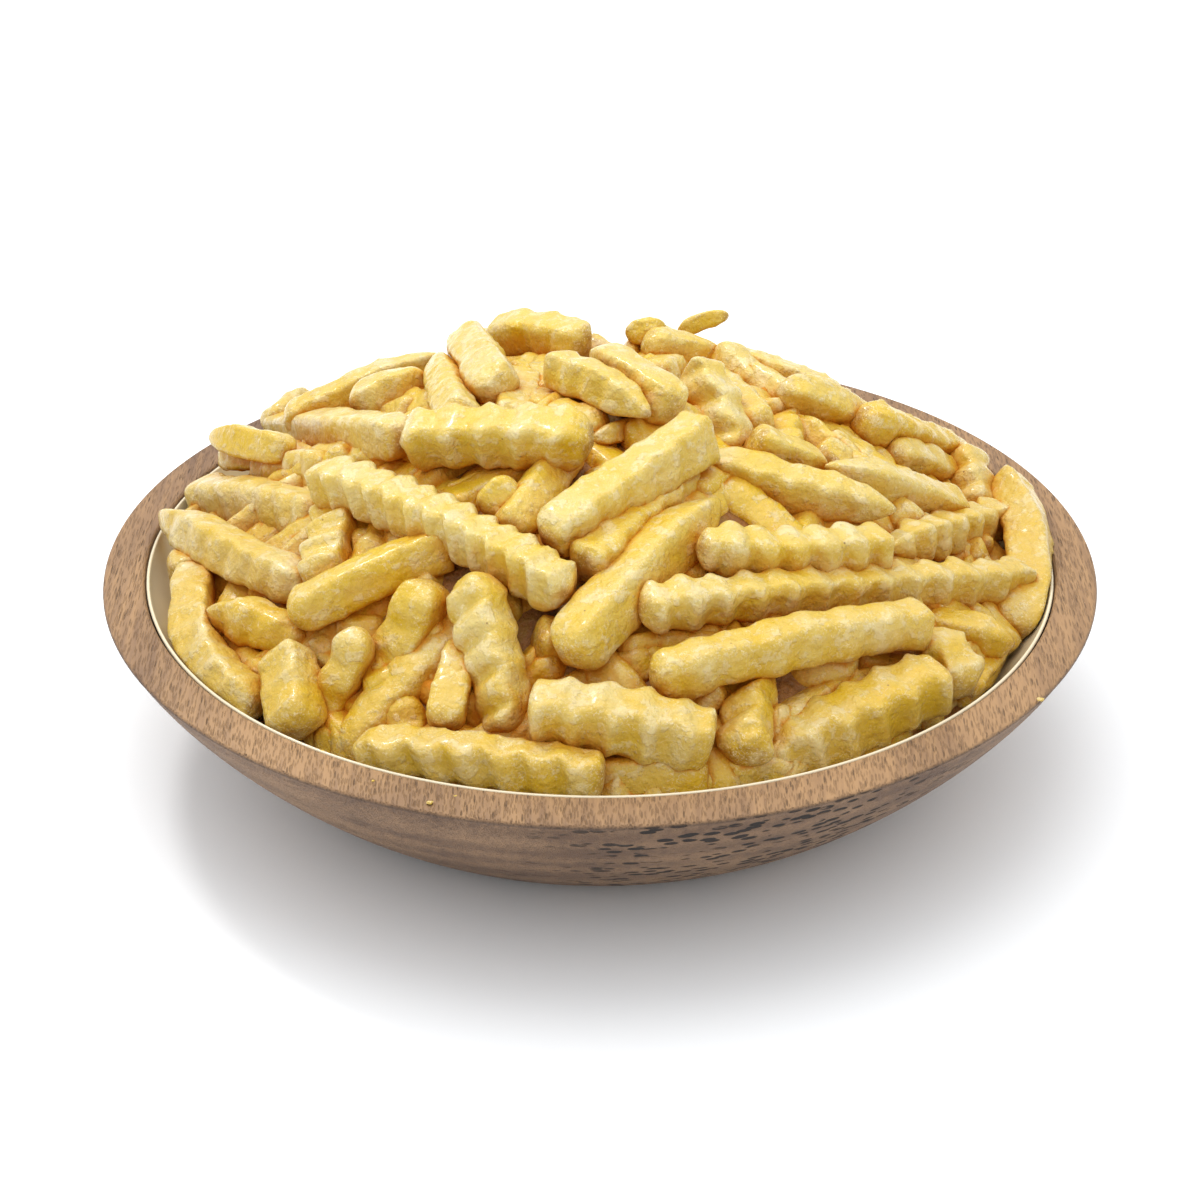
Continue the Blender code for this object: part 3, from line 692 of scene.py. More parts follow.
def plain_body(heap, index):
    """One fry with four sides, by which it finds its rest."""
    length = float(np.linalg.norm(heap.ends[index, 1] - heap.ends[index, 0]))
    cut = heap.cut[index]
    pitch = RIPPLE_PITCH / 2.0 if cut > SMOOTH else STATION_LENGTH
    stations = max(3, round(length / pitch))
    mesh = square_bar(stations, 0)
    start_tip, end_tip = heap.tips[index]
    places = np.array([vertex.co[:] for vertex in mesh.verts])
    station = np.rint((places[:, 0] + 1.0) / 2.0 * stations)
    roll = np.full(len(places), math.radians(heap.roll[index]))
    here, across, upward = frames_along(heap, index, station / stations, roll)
    ripple = cut * np.where(station % 2 == 1, 1.0, -1.0)
    tip = np.where(station == 0, start_tip, np.where(station == stations, end_tip, 1.0))
    wide = half_width(heap, index) * tip
    thick = wide * FRY_THICKNESS
    wide = wide + ripple * EDGE_RIPPLE * 0.5
    thick = thick + ripple * RIPPLE_DEPTH * 0.5
    points = here + across * (places[:, 1] * wide)[:, None] + upward * (places[:, 2] * thick)[:, None]
    for vertex, point in zip(mesh.verts, points):
        vertex.co = point
    return mesh


def sink(heap, index, joined):
    """Lower a fry that hangs free until it runs into what already lies in the heap."""
    mesh = plain_body(heap, index)
    centre = sum((vertex.co for vertex in mesh.verts), Vector()) / len(mesh.verts)
    step = dome_normal(centre.x, centre.y) * -SINK_STEP
    for _ in range(SINK_STEPS):
        body = BVHTree.FromBMesh(mesh)
        if any(body.overlap(other) for other in joined):
            break
        bmesh.ops.translate(mesh, vec=Vector(step), verts=mesh.verts)
        heap.shift[index] += step
    joined.append(body)
    mesh.free()


def fill_places():
    """Where the fries that fill the gaps lie and how they are turned: over the core, then along the wall."""
    draw = random.Random(SEED + 2)
    for x, y in scattered(FILL_COUNT, FILL_TURN, FILL_RADIUS):
        yield x, y, draw.uniform(0.0, math.pi), FILL_LIFT if y > 0.0 else FILL_DROP
    for index in range(WALL_COUNT):
        around = math.tau * index / WALL_COUNT
        turn = around + math.pi / 2.0 + draw.uniform(-WALL_SWAY, WALL_SWAY)
        yield WALL_RADIUS * math.cos(around), WALL_RADIUS * math.sin(around), turn, WALL_LIFT


def add_fill():
    """Loose fries in the gaps, close over the core, each tangent to it and turned at random."""
    draw = random.Random(SEED + 1)
    filled = Heap()
    for x, y, turn, lift in fill_places():
        length = draw.uniform(SHORTEST, LONGEST) * FILL_SHORTER
        ends = ends_about(x, y, length, turn, FILL_RADIUS, lambda x, y: core_height(math.hypot(x, y)) + lift)
        filled.add(
            kind="fill",
            ends=ends,
            out=dome_normal(x, y),
            cut=draw.choice((CRINKLED, RIBBED, SMOOTH)),
            tips=random_tips(draw),
            tone=draw.uniform(*FILL_TONES),
            bow=draw.uniform(-MOST_BOWED, MOST_BOWED),
            width=draw.uniform(*FILL_WIDTHS),
            roll=draw.uniform(*FILL_ROLLS),
        )
    filled.close()
    for index in range(len(filled.width)):
        keep_in_bowl(filled, index)
    return filled


@functools.lru_cache
def laid_heap():
    """The settled heap, with every fry at rest."""
    heap = gather_heap()
    settle(heap)
    drop(heap)
    core = turned_mesh(core_profile(), CORE_STEPS // 4)
    joined = [BVHTree.FromBMesh(core)]
    core.free()
    for index in range(len(heap.width)):
        sink(heap, index, joined)
    return heap


def rounded_corner(radius, height, size, first, last):
    """Points on a quarter round inside a corner, by its angles in degrees."""
    return [
        (radius + size * math.cos(math.radians(angle)), height + size * math.sin(math.radians(angle)))
        for angle in spaced(first, last, BEVEL_STEPS)
    ]


def bowl_profile():
    """Half section of the wood: up the hollow, over the rim and down the flank to the foot."""
    crown = RIM_HEIGHT + RIM_CROWN
    profile = [(0.0, FLOOR_HEIGHT), *hollow_wall(0.0, crown - RIM_BEVEL, WALL_RINGS)[:-1]]
    profile += rounded_corner(MOUTH_RADIUS + RIM_BEVEL, crown - RIM_BEVEL, RIM_BEVEL, 180.0, 90.0)
    profile += rounded_corner(RIM_RADIUS - RIM_BEVEL, RIM_HEIGHT - RIM_BEVEL, RIM_BEVEL, 90.0, 0.0)
    flank = spaced(RIM_HEIGHT - RIM_BEVEL, 0.0, WALL_RINGS)
    profile += [(flank_radius(height), height) for height in flank[1:]]
    profile.append((0.0, 0.0))
    return profile


def lining_profile():
    """Half section of the enamel: up its inner face, across its edge and down against the wood."""
    top = RIM_HEIGHT + RIM_CROWN - LINING_DROP
    inner = CLEARANCE + LINING_THICKNESS
    lip = LINING_THICKNESS / 2.0
    inside, outside = (hollow_wall(inset, top - lip, WALL_RINGS) for inset in (inner, CLEARANCE))
    middle = (inside[-1][0] + outside[-1][0]) / 2.0
    edge = rounded_corner(middle, top - lip, lip, 150.0, 30.0)
    return [(0.0, inside[0][1])] + inside + edge + outside[::-1] + [(0.0, outside[0][1])]


def core_height(radius):
    """Height of the core's skin at a radius: below the heap's skin, then down to the wall."""
    edge = DOME_RADIUS - CORE_DEPTH
    if radius <= edge:
        return float(dome_height(radius, 0.0)) - CORE_DEPTH
    top = float(dome_height(edge, 0.0)) - CORE_DEPTH
    wall = hollow_radius(CORE_RIM, CLEARANCE + LINING_THICKNESS + CORE_GAP)
    return top + (CORE_RIM - top) * min((radius - edge) / (wall - edge), 1.0)


def core_profile():
    """Half section of the heap's core: the dome, then down the hollow with a gap, and across its floor."""
    inset = CLEARANCE + LINING_THICKNESS + CORE_GAP
    dome = [(radius, core_height(radius)) for radius in spaced(0.0, DOME_RADIUS - CORE_DEPTH, CORE_RINGS)]
    wall = hollow_wall(inset, CORE_RIM, CORE_RINGS)
    return dome + wall[::-1] + [(0.0, wall[0][1])]


def turned_mesh(profile, steps):
    """A closed body: a half section carried once round the bowl's axis."""
    mesh = bmesh.new()
    points = [mesh.verts.new((radius, 0.0, height)) for radius, height in profile]
    edges = [mesh.edges.new(pair) for pair in zip(points, points[1:])]
    bmesh.ops.spin(
        mesh,
        geom=points + edges,
        cent=(0.0, 0.0, 0.0),
        axis=(0.0, 0.0, 1.0),
        angle=math.tau,
        steps=steps,
        use_merge=True,
        use_duplicate=False,
    )
    bmesh.ops.remove_doubles(mesh, verts=mesh.verts, dist=0.01)
    bmesh.ops.recalc_face_normals(mesh, faces=mesh.faces)
    return mesh


def placed(name, mesh, surface):
    """An object of a mesh, with its material, in the scene."""
    data = bpy.data.meshes.new(name)
    mesh.to_mesh(data)
    mesh.free()
    data.materials.append(surface)
    thing = bpy.data.objects.new(name, data)
    bpy.context.scene.collection.objects.link(thing)
    return thing


def aimed(data, place, target):
    """Put a lamp or a camera at a place, turned towards another."""
    thing = bpy.data.objects.new(data.name, data)
    thing.location = place
    thing.rotation_euler = (Vector(target) - thing.location).to_track_quat("-Z", "Y").to_euler()
    bpy.context.scene.collection.objects.link(thing)
    return thing


def finished_piece(name, mesh, surface, node):
    """Make a piece of a mesh in millimetres, in its place on the part."""
    bmesh.ops.scale(mesh, vec=(MM, MM, MM), verts=mesh.verts)
    piece = placed(name, mesh, surface)
    piece.data.shade_smooth()
    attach(piece, BODY)
    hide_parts(node)
    return piece


def set_fact(data, name, values):
    """Give every point of a mesh a value that its material reads by name."""
    data.attributes.new(name, "FLOAT", "POINT").data.foreach_set("value", values)


def end_profile(ring, length, power):
    """Distance from a fry's tip at which its section has grown to a share of its full size."""
    return length * (1.0 - superellipse(ring, power))


def section_scale(distance, length, power):
    """Share of the full section at a distance from a fry's tip."""
    return superellipse((length - distance) / length, power)


@functools.lru_cache(maxsize=None)
def fine_bar(stations, cuts):
    """The mesh of a finely divided bar, and the places of its points."""
    mesh = square_bar(stations, cuts)
    places = np.array([vertex.co[:] for vertex in mesh.verts])
    data = bpy.data.meshes.new("bar")
    mesh.to_mesh(data)
    mesh.free()
    return data, places


def ripple_wave(turns):
    """Broad rounded ridges with narrower furrows between them, from -1 to 1."""
    return (np.cos(math.tau * turns) - FURROW * np.cos(2.0 * math.tau * turns)) / (1.0 + FURROW)


def skin_noise(points, scale, offset):
    """Smooth noise over points, with features of a size in millimetres."""
    places = points / scale + offset
    return np.array([noise.noise(Vector(place)) for place in places.tolist()])


def fine_fry(heap, index, settings, fineness):
    """The mesh of one true fry, its points and what its surface needs to know at each of them."""
    vary = np.random.default_rng(SEED * 1000 + index * 7 + len(heap.width))
    start, end = heap.ends[index]
    length = float(np.linalg.norm(end - start))
    station, cuts = fineness
    stations = max(12, 4 * round(length / station / 4.0))
    data, places = fine_bar(stations, cuts)
    x, y, z = places.T
    ring = np.maximum(np.abs(y), np.abs(z))
    cap = np.abs(x) > 1.0 - TINY
    corner = vary.uniform(*CORNERS)
    norm = (np.abs(y) ** corner + np.abs(z) ** corner) ** (1.0 / corner)
    rounding = ring / norm.clip(TINY)
    spread = np.where(cap, ring * CAP_SHARE, 1.0)

    # Along the length: evenly between the two rounded ends
    half = half_width(heap, index) * FULLER
    first, last = heap.tips[index]
    most = length * TIP_MOST
    head, tail = (min(END_LENGTH[tip] * vary.uniform(*TIP_VARIES), most) for tip in (first, last))
    head_start = end_profile(CAP_SHARE, head, END_POWER[first])
    tail_start = end_profile(CAP_SHARE, tail, END_POWER[last])
    distance = head_start + (x + 1.0) / 2.0 * (length - head_start - tail_start)
    distance = np.where(cap & (x < 0.0), end_profile(spread, head, END_POWER[first]), distance)
    distance = np.where(cap & (x > 0.0), length - end_profile(spread, tail, END_POWER[last]), distance)
    shrink_head = section_scale(distance, head, END_POWER[first])
    shrink = np.minimum(shrink_head, section_scale(length - distance, tail, END_POWER[last]))
    share = distance / length

    # Across: a square with rounded corners, wavy on two faces
    cut = heap.cut[index]
    wide = half * (1.0 + vary.uniform(-TAPER_WIDE, TAPER_WIDE) * (2.0 * share - 1.0))
    thick = half * FRY_THICKNESS * (1.0 + vary.uniform(-TAPER_THICK, TAPER_THICK) * (2.0 * share - 1.0))
    pitch = settings.ripple_pitch / MM * vary.uniform(*PITCH_VARIES) * (STEP_SHARE if cut == STEPPED else 1.0)
    turns = distance / pitch + y * vary.uniform(-SKEW, SKEW) + vary.uniform(0.0, 1.0)
    under_turns = turns + vary.uniform(-UNDER_SHIFT, UNDER_SHIFT)
    wave = ripple_wave(np.where(z > 0.0, turns, under_turns))
    if cut == STEPPED or vary.random() < CRESTED_SHARE:
        wave = -wave
    depth = settings.ripple_depth / MM * cut * np.minimum(1.0, (shrink - RIPPLE_FADE).clip(0.0) * 2.0)
    edge_wave = np.sin(math.tau * (distance / pitch + vary.uniform(0.0, 1.0)))
    section = np.where(cap, CAP_SHARE, shrink) * rounding
    offset_y = y * section * wide + y * edge_wave * depth * EDGE_WAVE
    offset_z = z * section * thick + z * rounding * wave * depth * 0.5

    twist = math.radians(vary.uniform(-TWIST, TWIST))
    roll = math.radians(heap.roll[index]) + twist * (share - 0.5)
    here, across, upward = frames_along(heap, index, share, roll)
    points = here + heap.shift[index] + across * offset_y[:, None] + upward * offset_z[:, None]

    # The skin: gentle lumps, then blisters that stand out
    inner = np.clip(share, head / length, 1.0 - tail / length)
    away = unit(points - heap.middle_line(index, inner) - heap.shift[index])
    offset = vary.uniform(0.0, 90.0, 3)
    corner_wear = ((norm / ring.clip(TINY) - 1.0) / CORNER_SHARP).clip(0.0, 1.0)
    lumps = skin_noise(points, LUMP_SIZE, offset) * 0.9
    lumps += skin_noise(points, KNOB_SIZE, offset) * (0.2 + corner_wear * 0.2)
    lumps += skin_noise(points, RAG_SIZE, offset + 3.0) * (0.02 + corner_wear * 0.12)
    blister = (skin_noise(points, BLISTER_SIZE, offset + 7.0) - BLISTER_FROM).clip(0.0)
    blister *= vary.uniform(*BLISTERED)
    points += away * ((lumps + blister * settings.blister_height / MM) * shrink.clip(TIP_SKIN))[:, None]
    points = cleared(points)
    crisp = np.maximum(corner_wear * 0.6, 1.0 - np.minimum(distance, length - distance) / CRISP_LENGTH)

    facts = {
        "tone": np.full(len(points), heap.tone[index] + vary.uniform(-TONE_VARIES, TONE_VARIES)),
        "ridge": wave * cut,
        "crisp": crisp.clip(0.0, 1.0),
        "blister": (blister * 2.0).clip(0.0, 1.0),
    }
    return data, points, facts


def cleared(points):
    """Draw in the points of a fry that would touch the lining or the rim."""
    for _ in range(ROUNDS):
        room, way = room_in_bowl(points)
        points = points + way * (SKIN_CLEARANCE - room).clip(0.0)[:, None]
    return points


def openness(tree, data):
    """How open each point of a mesh is to the light, from 0, shut in, to 1: the mean reach of a few rays."""
    count = len(data.vertices)
    points, normals = np.empty((2, count * 3))
    data.vertices.foreach_get("co", points)
    data.vertex_normals.foreach_get("vector", normals)
    points, normals = points.reshape(-1, 3), normals.reshape(-1, 3)
    side = unit(np.cross(normals, np.where(np.abs(normals[:, 2:]) < 0.8, (0.0, 0.0, 1.0), (1.0, 0.0, 0.0))))
    ahead = np.cross(normals, side)
    starts = (points + normals * RAY_START).tolist()
    reach = np.zeros(count)
    lean = math.radians(RAY_LEAN)
    for ray in range(RAY_COUNT):
        turn = math.tau * ray / RAY_COUNT
        flat = side * math.cos(turn) + ahead * math.sin(turn)
        ways = (normals * math.cos(lean) + flat * math.sin(lean)).tolist()
        hits = (tree.ray_cast(start, way, RAY_REACH)[3] for start, way in zip(starts, ways))
        reach += np.array([RAY_REACH if hit is None else hit for hit in hits])
    return reach / (RAY_COUNT * RAY_REACH)


def fries_piece(name, heap, kind, settings, surface, fineness):
    """One piece of all the fries of a kind."""
    mesh = bmesh.new()
    points = []
    facts = []
    for index in range(len(heap.width)):
        if heap.kind[index] == kind:
            data, places, known = fine_fry(heap, index, settings, fineness)
            mesh.from_mesh(data)
            points.append(places)
            facts.append(known)
    data = finished_piece(name, mesh, surface, "fries_heap").data
    data.vertices.foreach_set("co", (np.concatenate(points) * MM).ravel())
    for fact in facts[0]:
        set_fact(data, fact, np.concatenate([known[fact] for known in facts]))
    data.update()


class Wire:
    """A value in a material, which adds Math nodes when it is used in a sum."""

    def __init__(self, surface, socket):
        self.surface = surface
        self.socket = socket

    def maths(self, operation, first, second=0.0):
        return self.surface.add("ShaderNodeMath", {"operation": operation}, {0: first, 1: second})

    def __add__(self, other):
        return self.maths("ADD", self, other)

    def __sub__(self, other):
        return self.maths("SUBTRACT", self, other)

    def __rsub__(self, other):
        return self.maths("SUBTRACT", other, self)

    def __mul__(self, other):
        return self.maths("MULTIPLY", self, other)

    def __abs__(self):
        return self.maths("ABSOLUTE", self)

    __radd__ = __add__
    __rmul__ = __mul__


def set_stops(ramp, stops):
    """Give a colour ramp its stops of place and colour."""
    while len(ramp.elements) < len(stops):
        ramp.elements.new(0.5)
    for element, (place, colour) in zip(ramp.elements, stops):
        element.position = place
        element.color = (*colour, 1.0)


class Surface:
    """The nodes of a material, or of the world, which end in its shader."""

    def __init__(self, owner, shader="Principled BSDF", coordinates="Object"):
        owner.use_nodes = True
        self.owner = owner
        self.tree = owner.node_tree
        self.shader = self.tree.nodes[shader]
        self.coords = self.add("ShaderNodeTexCoord", {}, {}, coordinates)

    def add(self, kind, settings, sockets, output=0):
        """Add a node of a type, with its settings, then the values or links of its sockets."""
        node = self.tree.nodes.new(kind)
        for setting, value in settings.items():
            if setting == "stops":
                set_stops(node.color_ramp, value)
            else:
                setattr(node, setting, value)
        self.fill(node, sockets)
        return Wire(self, node.outputs[output])

    def fill(self, node, sockets):
        """Link the sockets of a node to wires, or give them plain values."""
        for place, value in sockets.items():
            if isinstance(value, Wire):
                self.tree.links.new(value.socket, node.inputs[place])
            else:
                node.inputs[place].default_value = value

    def finished(self, sockets):
        """The material or world, once the sockets of its shader are filled."""
        self.fill(self.shader, sockets)
        return self.owner

    def axis(self, name):
        """The coordinate along one axis."""
        return self.add("ShaderNodeSeparateXYZ", {}, {"Vector": self.coords}, name)

    def ramp(self, value, stops):
        """A colour that follows a value through stops of place and colour."""
        return self.add("ShaderNodeValToRGB", {"stops": stops}, {"Fac": value}, "Color")

    def mix(self, share, first, second, blend="MIX"):
        """A colour between two others."""
        colours = [value if isinstance(value, Wire) else (*value, 1.0) for value in (first, second)]
        sockets = {"Factor": share, 6: colours[0], 7: colours[1]}
        return self.add("ShaderNodeMix", {"data_type": "RGBA", "blend_type": blend}, sockets, 2)

    def band(self, value, low, high):
        """A value from 0 at low to 1 at high, eased at both."""
        settings = {"interpolation_type": "SMOOTHSTEP", "clamp": True}
        return self.add("ShaderNodeMapRange", settings, {"Value": value, "From Min": low, "From Max": high})

    def fade(self, value, low, high):
        """A value from 1 at low to 0 at high, eased at both."""
        return 1.0 - self.band(value, low, high)

    def stretched(self, x, y, z, tilt=0.0):
        """The piece's own coordinates, tilted about Y and stretched along each axis."""
        sockets = {"Vector": self.coords, "Rotation": (0.0, tilt, 0.0), "Scale": (x, y, z)}
        return self.add("ShaderNodeMapping", {}, sockets)

    def noise(self, scale, detail=3.0, roughness=0.5, vector=None):
        """Smooth noise from 0 to 1, with about that many features to a metre."""
        sockets = {"Vector": vector or self.coords, "Scale": scale, "Detail": detail, "Roughness": roughness}
        return self.add("ShaderNodeTexNoise", {}, sockets)

    def cells(self, scale, vector=None):
        """Distance to the nearest of scattered points, with about that many to a metre."""
        return self.add("ShaderNodeTexVoronoi", {}, {"Vector": vector or self.coords, "Scale": scale})

    def attribute(self, name):
        """A value that the mesh holds for each of its points."""
        return self.add("ShaderNodeAttribute", {"attribute_name": name}, {}, "Fac")

    def bump(self, height, distance, strength, under=None):
        """A relief of some depth in metres, over another where there is one."""
        sockets = {"Height": height, "Distance": distance, "Strength": strength}
        if under:
            sockets["Normal"] = under
        return self.add("ShaderNodeBump", {}, sockets)


def blended(first, second, share):
    """A colour at a share of the way from one to another."""
    return tuple((1.0 - share) * low + share * high for low, high in zip(first, second))


def fried_potato(name, settings, shade):
    """Fried potato: browned at its tips, blistered and oily; paler on the ridges and golden in the furrows as
    painted light and shade, with painted glints, a painted shade low in the heap and an amber painted shade
    where it is shut in.
    """
    surface = Surface(bpy.data.materials.new(name))
    tone, ridge, crisp, blister = (surface.attribute(fact) for fact in ("tone", "ridge", "crisp", "blister"))
    broad = surface.noise(70.0, 2.0) - 0.5
    mottle = surface.noise(260.0, 3.0, 0.6) - 0.5
    grain = surface.noise(1300.0, 2.0, 0.65)
    # Painted light and shade on the ripples: the ridges are made paler and the furrows deeper in colour
    pale = 0.44 + tone * 0.36 + ridge * 0.18 + broad * 1.4 + mottle * 0.7 + blister * 0.3 - shade
    between = blended(settings.golden, settings.cream, 0.4)
    colour = surface.ramp(pale, ((0.1, settings.golden), (0.5, between), (0.9, settings.cream)))
    patched = surface.noise(300.0, 3.0, 0.62) + broad * 0.3 + ridge * 0.035 + tone * 0.03
    patches = surface.band(patched, 0.53, 0.63)
    colour = surface.mix(patches * 0.5, colour, PALE_PATCH)
    # Painted shade: the fries low in the heap are tinted darker
    colour = surface.mix(surface.fade(surface.axis("Z"), *LOW_FRIES_SHADE) * 0.7, colour, LOW_SHADE_TINT, "MULTIPLY")
    done = crisp * 0.9 + (surface.noise(190.0, 3.0, 0.65) - 0.5) * 1.6 - tone * 0.12
    colour = surface.mix(surface.band(done, 0.55, 1.15) * 0.62, colour, settings.browned)
    specked = surface.band(surface.noise(120.0, 1.0), 0.60, 0.72)
    colour = surface.mix(surface.fade(surface.cells(330.0), 0.05, 0.13) * specked * 0.75, colour, BURNT_SPECK)
    # Painted highlight: thin pale strokes are painted glints; the fine pale frost on crisp edges and blisters
    # is partly the skin's own grain, partly painted highlight, as both show only where open to the light
    drawn = surface.noise(330.0, 3.0, 0.55)
    strokes = surface.fade(abs(drawn - 0.52), 0.0, 0.022)
    painted_glints = strokes * surface.band(surface.noise(210.0, 2.0) + blister * 0.2, 0.50, 0.64)
    frost = surface.band(surface.noise(1900.0, 2.0, 0.6), 0.54, 0.66) * (0.08 + crisp * 0.55 + blister * 0.4)
    # Painted shade: where a fry is shut in from the light, its colour is multiplied by the amber tint, and
    # its gloss is lowered
    shut_in = surface.fade(surface.attribute("open"), 0.12, 0.95)
    colour = surface.mix((painted_glints * 0.4 + frost * 0.9) * (1.0 - shut_in), colour, FROST_AND_GLINTS)
    colour = surface.mix(shut_in, colour, settings.amber, "MULTIPLY")
    fine = surface.bump(grain, 0.0002, 0.6)
    pimples = surface.bump(surface.fade(surface.cells(420.0), 0.0, 0.7), 0.0004, 0.4, fine)
    return surface.finished(
        {
            "Base Color": colour,
            "Roughness": 0.34 + grain * 0.2 - painted_glints * 0.12 + shut_in * 0.3,
            "Normal": surface.bump(mottle + drawn * 0.5 + patches * 0.12, 0.0011, 0.9, pimples),
            "Subsurface Weight": settings.translucence,
            "Subsurface Radius": (0.7, 0.5, 0.16),
            "Subsurface Scale": 0.0012,
            "Specular IOR Level": 0.3,
            "Coat Weight": 0.5 - shut_in * 0.5,
            "Coat Roughness": 0.16,
        }
    )


def turned_wood(settings):
    """Open-pored hardwood, its grain along the bowl's depth: streaks beside it, dots on its front; below the
    rim a painted shade tints the flank, with a darker painted shade in the crease under the rim's edge.
    """
    surface = Surface(bpy.data.materials.new("Turned wood"))
    height = surface.axis("Z")
    rim = surface.band(height, *RIM_FROM)
    flow = surface.stretched(1.0, 0.10, 1.0)
    drift = surface.noise(34.0, 4.0, 0.6, flow)
    grown = {"Scale": 34.0, "Distortion": 5.5, "Detail": 3.0, "Detail Scale": 1.6}
    rings = surface.add(
        "ShaderNodeTexWave",
        {"wave_type": "BANDS", "bands_direction": "Z", "wave_profile": "SIN"},
        {"Vector": surface.stretched(0.22, 0.05, 1.0), **grown},
    )
    fibre = surface.noise(520.0, 3.0, 0.65, surface.stretched(1.0, 0.05, 1.0))
    blotch = surface.noise(18.0, 2.0, 0.5)
    shade = drift * 0.9 + rings * 0.22 + fibre * 0.75 + blotch * 0.4 - 1.14
    light, dark = settings.wood_light, settings.wood_dark
    tan = surface.ramp(0.5 + shade * 1.5, ((0.15, dark), (0.5, blended(dark, light, 0.5)), (0.85, light)))
    # Painted shade: below the rim the wood is multiplied by the flank tint, darker and cooler than the rim's
    # top
    colour = surface.mix(rim, surface.mix(1.0, tan, settings.flank_shade_tint, "MULTIPLY"), tan)
    short_pores = surface.fade(surface.cells(2500.0, surface.stretched(1.0, 0.07, 1.0)), 0.22, 0.5)
    long_pores = surface.fade(surface.cells(1250.0, surface.stretched(1.0, 0.10, 1.1)), 0.12, 0.30)
    pore_room = surface.band(surface.noise(60.0, 3.0, 0.6, flow) + rings * 0.3, 0.42, 0.75)
    colour = surface.mix(short_pores * (0.15 + fibre * 0.6) * (1.0 - rim * 0.3), colour, dark)
    end_grain = surface.band(abs(surface.axis("Y")), 0.055, 0.085)
    patch = end_grain * surface.fade(abs(surface.axis("X") - TORN_MIDDLE), 0.025, 0.062) * (1.0 - rim)
    rows = surface.stretched(0.5, 0.5, 1.3, TORN_TILT)
    torn_room = surface.band(surface.noise(130.0, 3.0, 0.6, rows) + patch * 0.12, 0.54, 0.62)
    torn = surface.fade(surface.cells(430.0, rows), 0.36, 0.46) * torn_room
    torn = torn * (0.2 + patch * 0.8) * (1.0 - rim)
    pores = long_pores * (0.3 + pore_room * 0.7) * (0.3 + rim * 0.4)
    colour = surface.mix(pores * (0.9 - rim * 0.3), colour, settings.pore)
    colour = surface.mix(torn * 0.95, colour, TORN)
    # Painted shade: a dark band along the crease just under the rim's outer edge
    crease = surface.band(height, *CREASE_FROM) - rim
    colour = surface.mix(crease * 0.5, colour, settings.pore)
    roughness = 0.52 + fibre * 0.16 + pores * 0.15 + torn * 0.3
    turning = surface.bump(fibre, 0.0003, 0.5)
    normal = surface.bump(1.0 - pores - torn - short_pores * 0.4, 0.0006, 0.8, turning)
    return surface.finished({"Base Color": colour, "Roughness": roughness, "Normal": normal})


def cream_enamel(settings):
    """Smooth cream enamel, a little uneven, with an oily bloom low down by the fries."""
    surface = Surface(bpy.data.materials.new("Cream enamel"))
    cloud = surface.noise(30.0, 3.0)
    oily = tuple(value * share for value, share in zip(settings.enamel, OILY))
    low = surface.fade(surface.axis("Z"), *LOW_ENAMEL)
    colour = surface.mix(low * (0.35 + cloud * 0.7), settings.enamel, oily)
    colour = surface.mix(surface.fade(surface.cells(300.0), 0.03, 0.08) * 0.2, colour, ENAMEL_SPECK)
    normal = surface.bump(surface.noise(160.0, 2.0), 0.0002, 0.25)
    return surface.finished({"Base Color": colour, "Roughness": 0.16 + cloud * 0.14, "Normal": normal})


def heap_core(settings):
    """The depths of the heap: browned potato and crumb, darkened as painted warm shade between the fries."""
    surface = Surface(bpy.data.materials.new("Heap core"))
    broad = surface.noise(110.0, 3.0, 0.6)
    grain = surface.noise(700.0, 3.0, 0.6)
    # Painted shade: the core's colours are blended towards black
    dark, golden = (blended(colour, BLACK, CORE_SHADE_DARKER) for colour in (settings.browned, settings.golden))
    colour = surface.ramp(broad * 0.7 + grain * 0.3, ((0.3, dark), (0.5, settings.browned), (0.8, golden)))
    normal = surface.bump(grain + broad * 2.0, 0.0012, 0.8)
    return surface.finished({"Base Color": colour, "Roughness": 0.45 + grain * 0.25, "Normal": normal})


def pale_floor(settings):
    """A plain pale floor with the faintest unevenness."""
    surface = Surface(bpy.data.materials.new("Pale floor"))
    cloud = surface.noise(3.0, 2.0)
    colour = surface.mix(cloud * 0.3, settings.floor, blended(settings.floor, BLACK, FLOOR_DARKER))
    return surface.finished({"Base Color": colour, "Roughness": 0.7 + cloud * 0.1})


def a_colour(name, description, default):
    return FloatVectorProperty(name=name, description=description, default=default, subtype="COLOR")


def a_number(name, description, default, **limits):
    return FloatProperty(name=name, description=description, default=default, **limits)


def a_length(name, description, default):
    return a_number(name, description, default, unit="LENGTH", precision=4)


class BowlLook(bpy.types.PropertyGroup):
    """Sizes and colours of the bowl."""

    turned_steps: IntProperty(name="Turned steps", description="Facets round the bowl", default=192, min=24)
    wood_light: a_colour("Light wood", "Palest colour of the wood", (0.355, 0.198, 0.085))
    wood_dark: a_colour("Dark wood", "Darkest colour of the wood", (0.155, 0.078, 0.034))
    # Painted shade: the tint that darkens and cools the bowl's outside below the rim
    flank_shade_tint: a_colour("Flank tint", "How the outside of the bowl differs", (0.78, 0.82, 1.0))
    pore: a_colour("Pores", "Colour of the pores", (0.05, 0.028, 0.018))
    enamel: a_colour("Enamel", "Colour of the lining", (0.70, 0.60, 0.42))


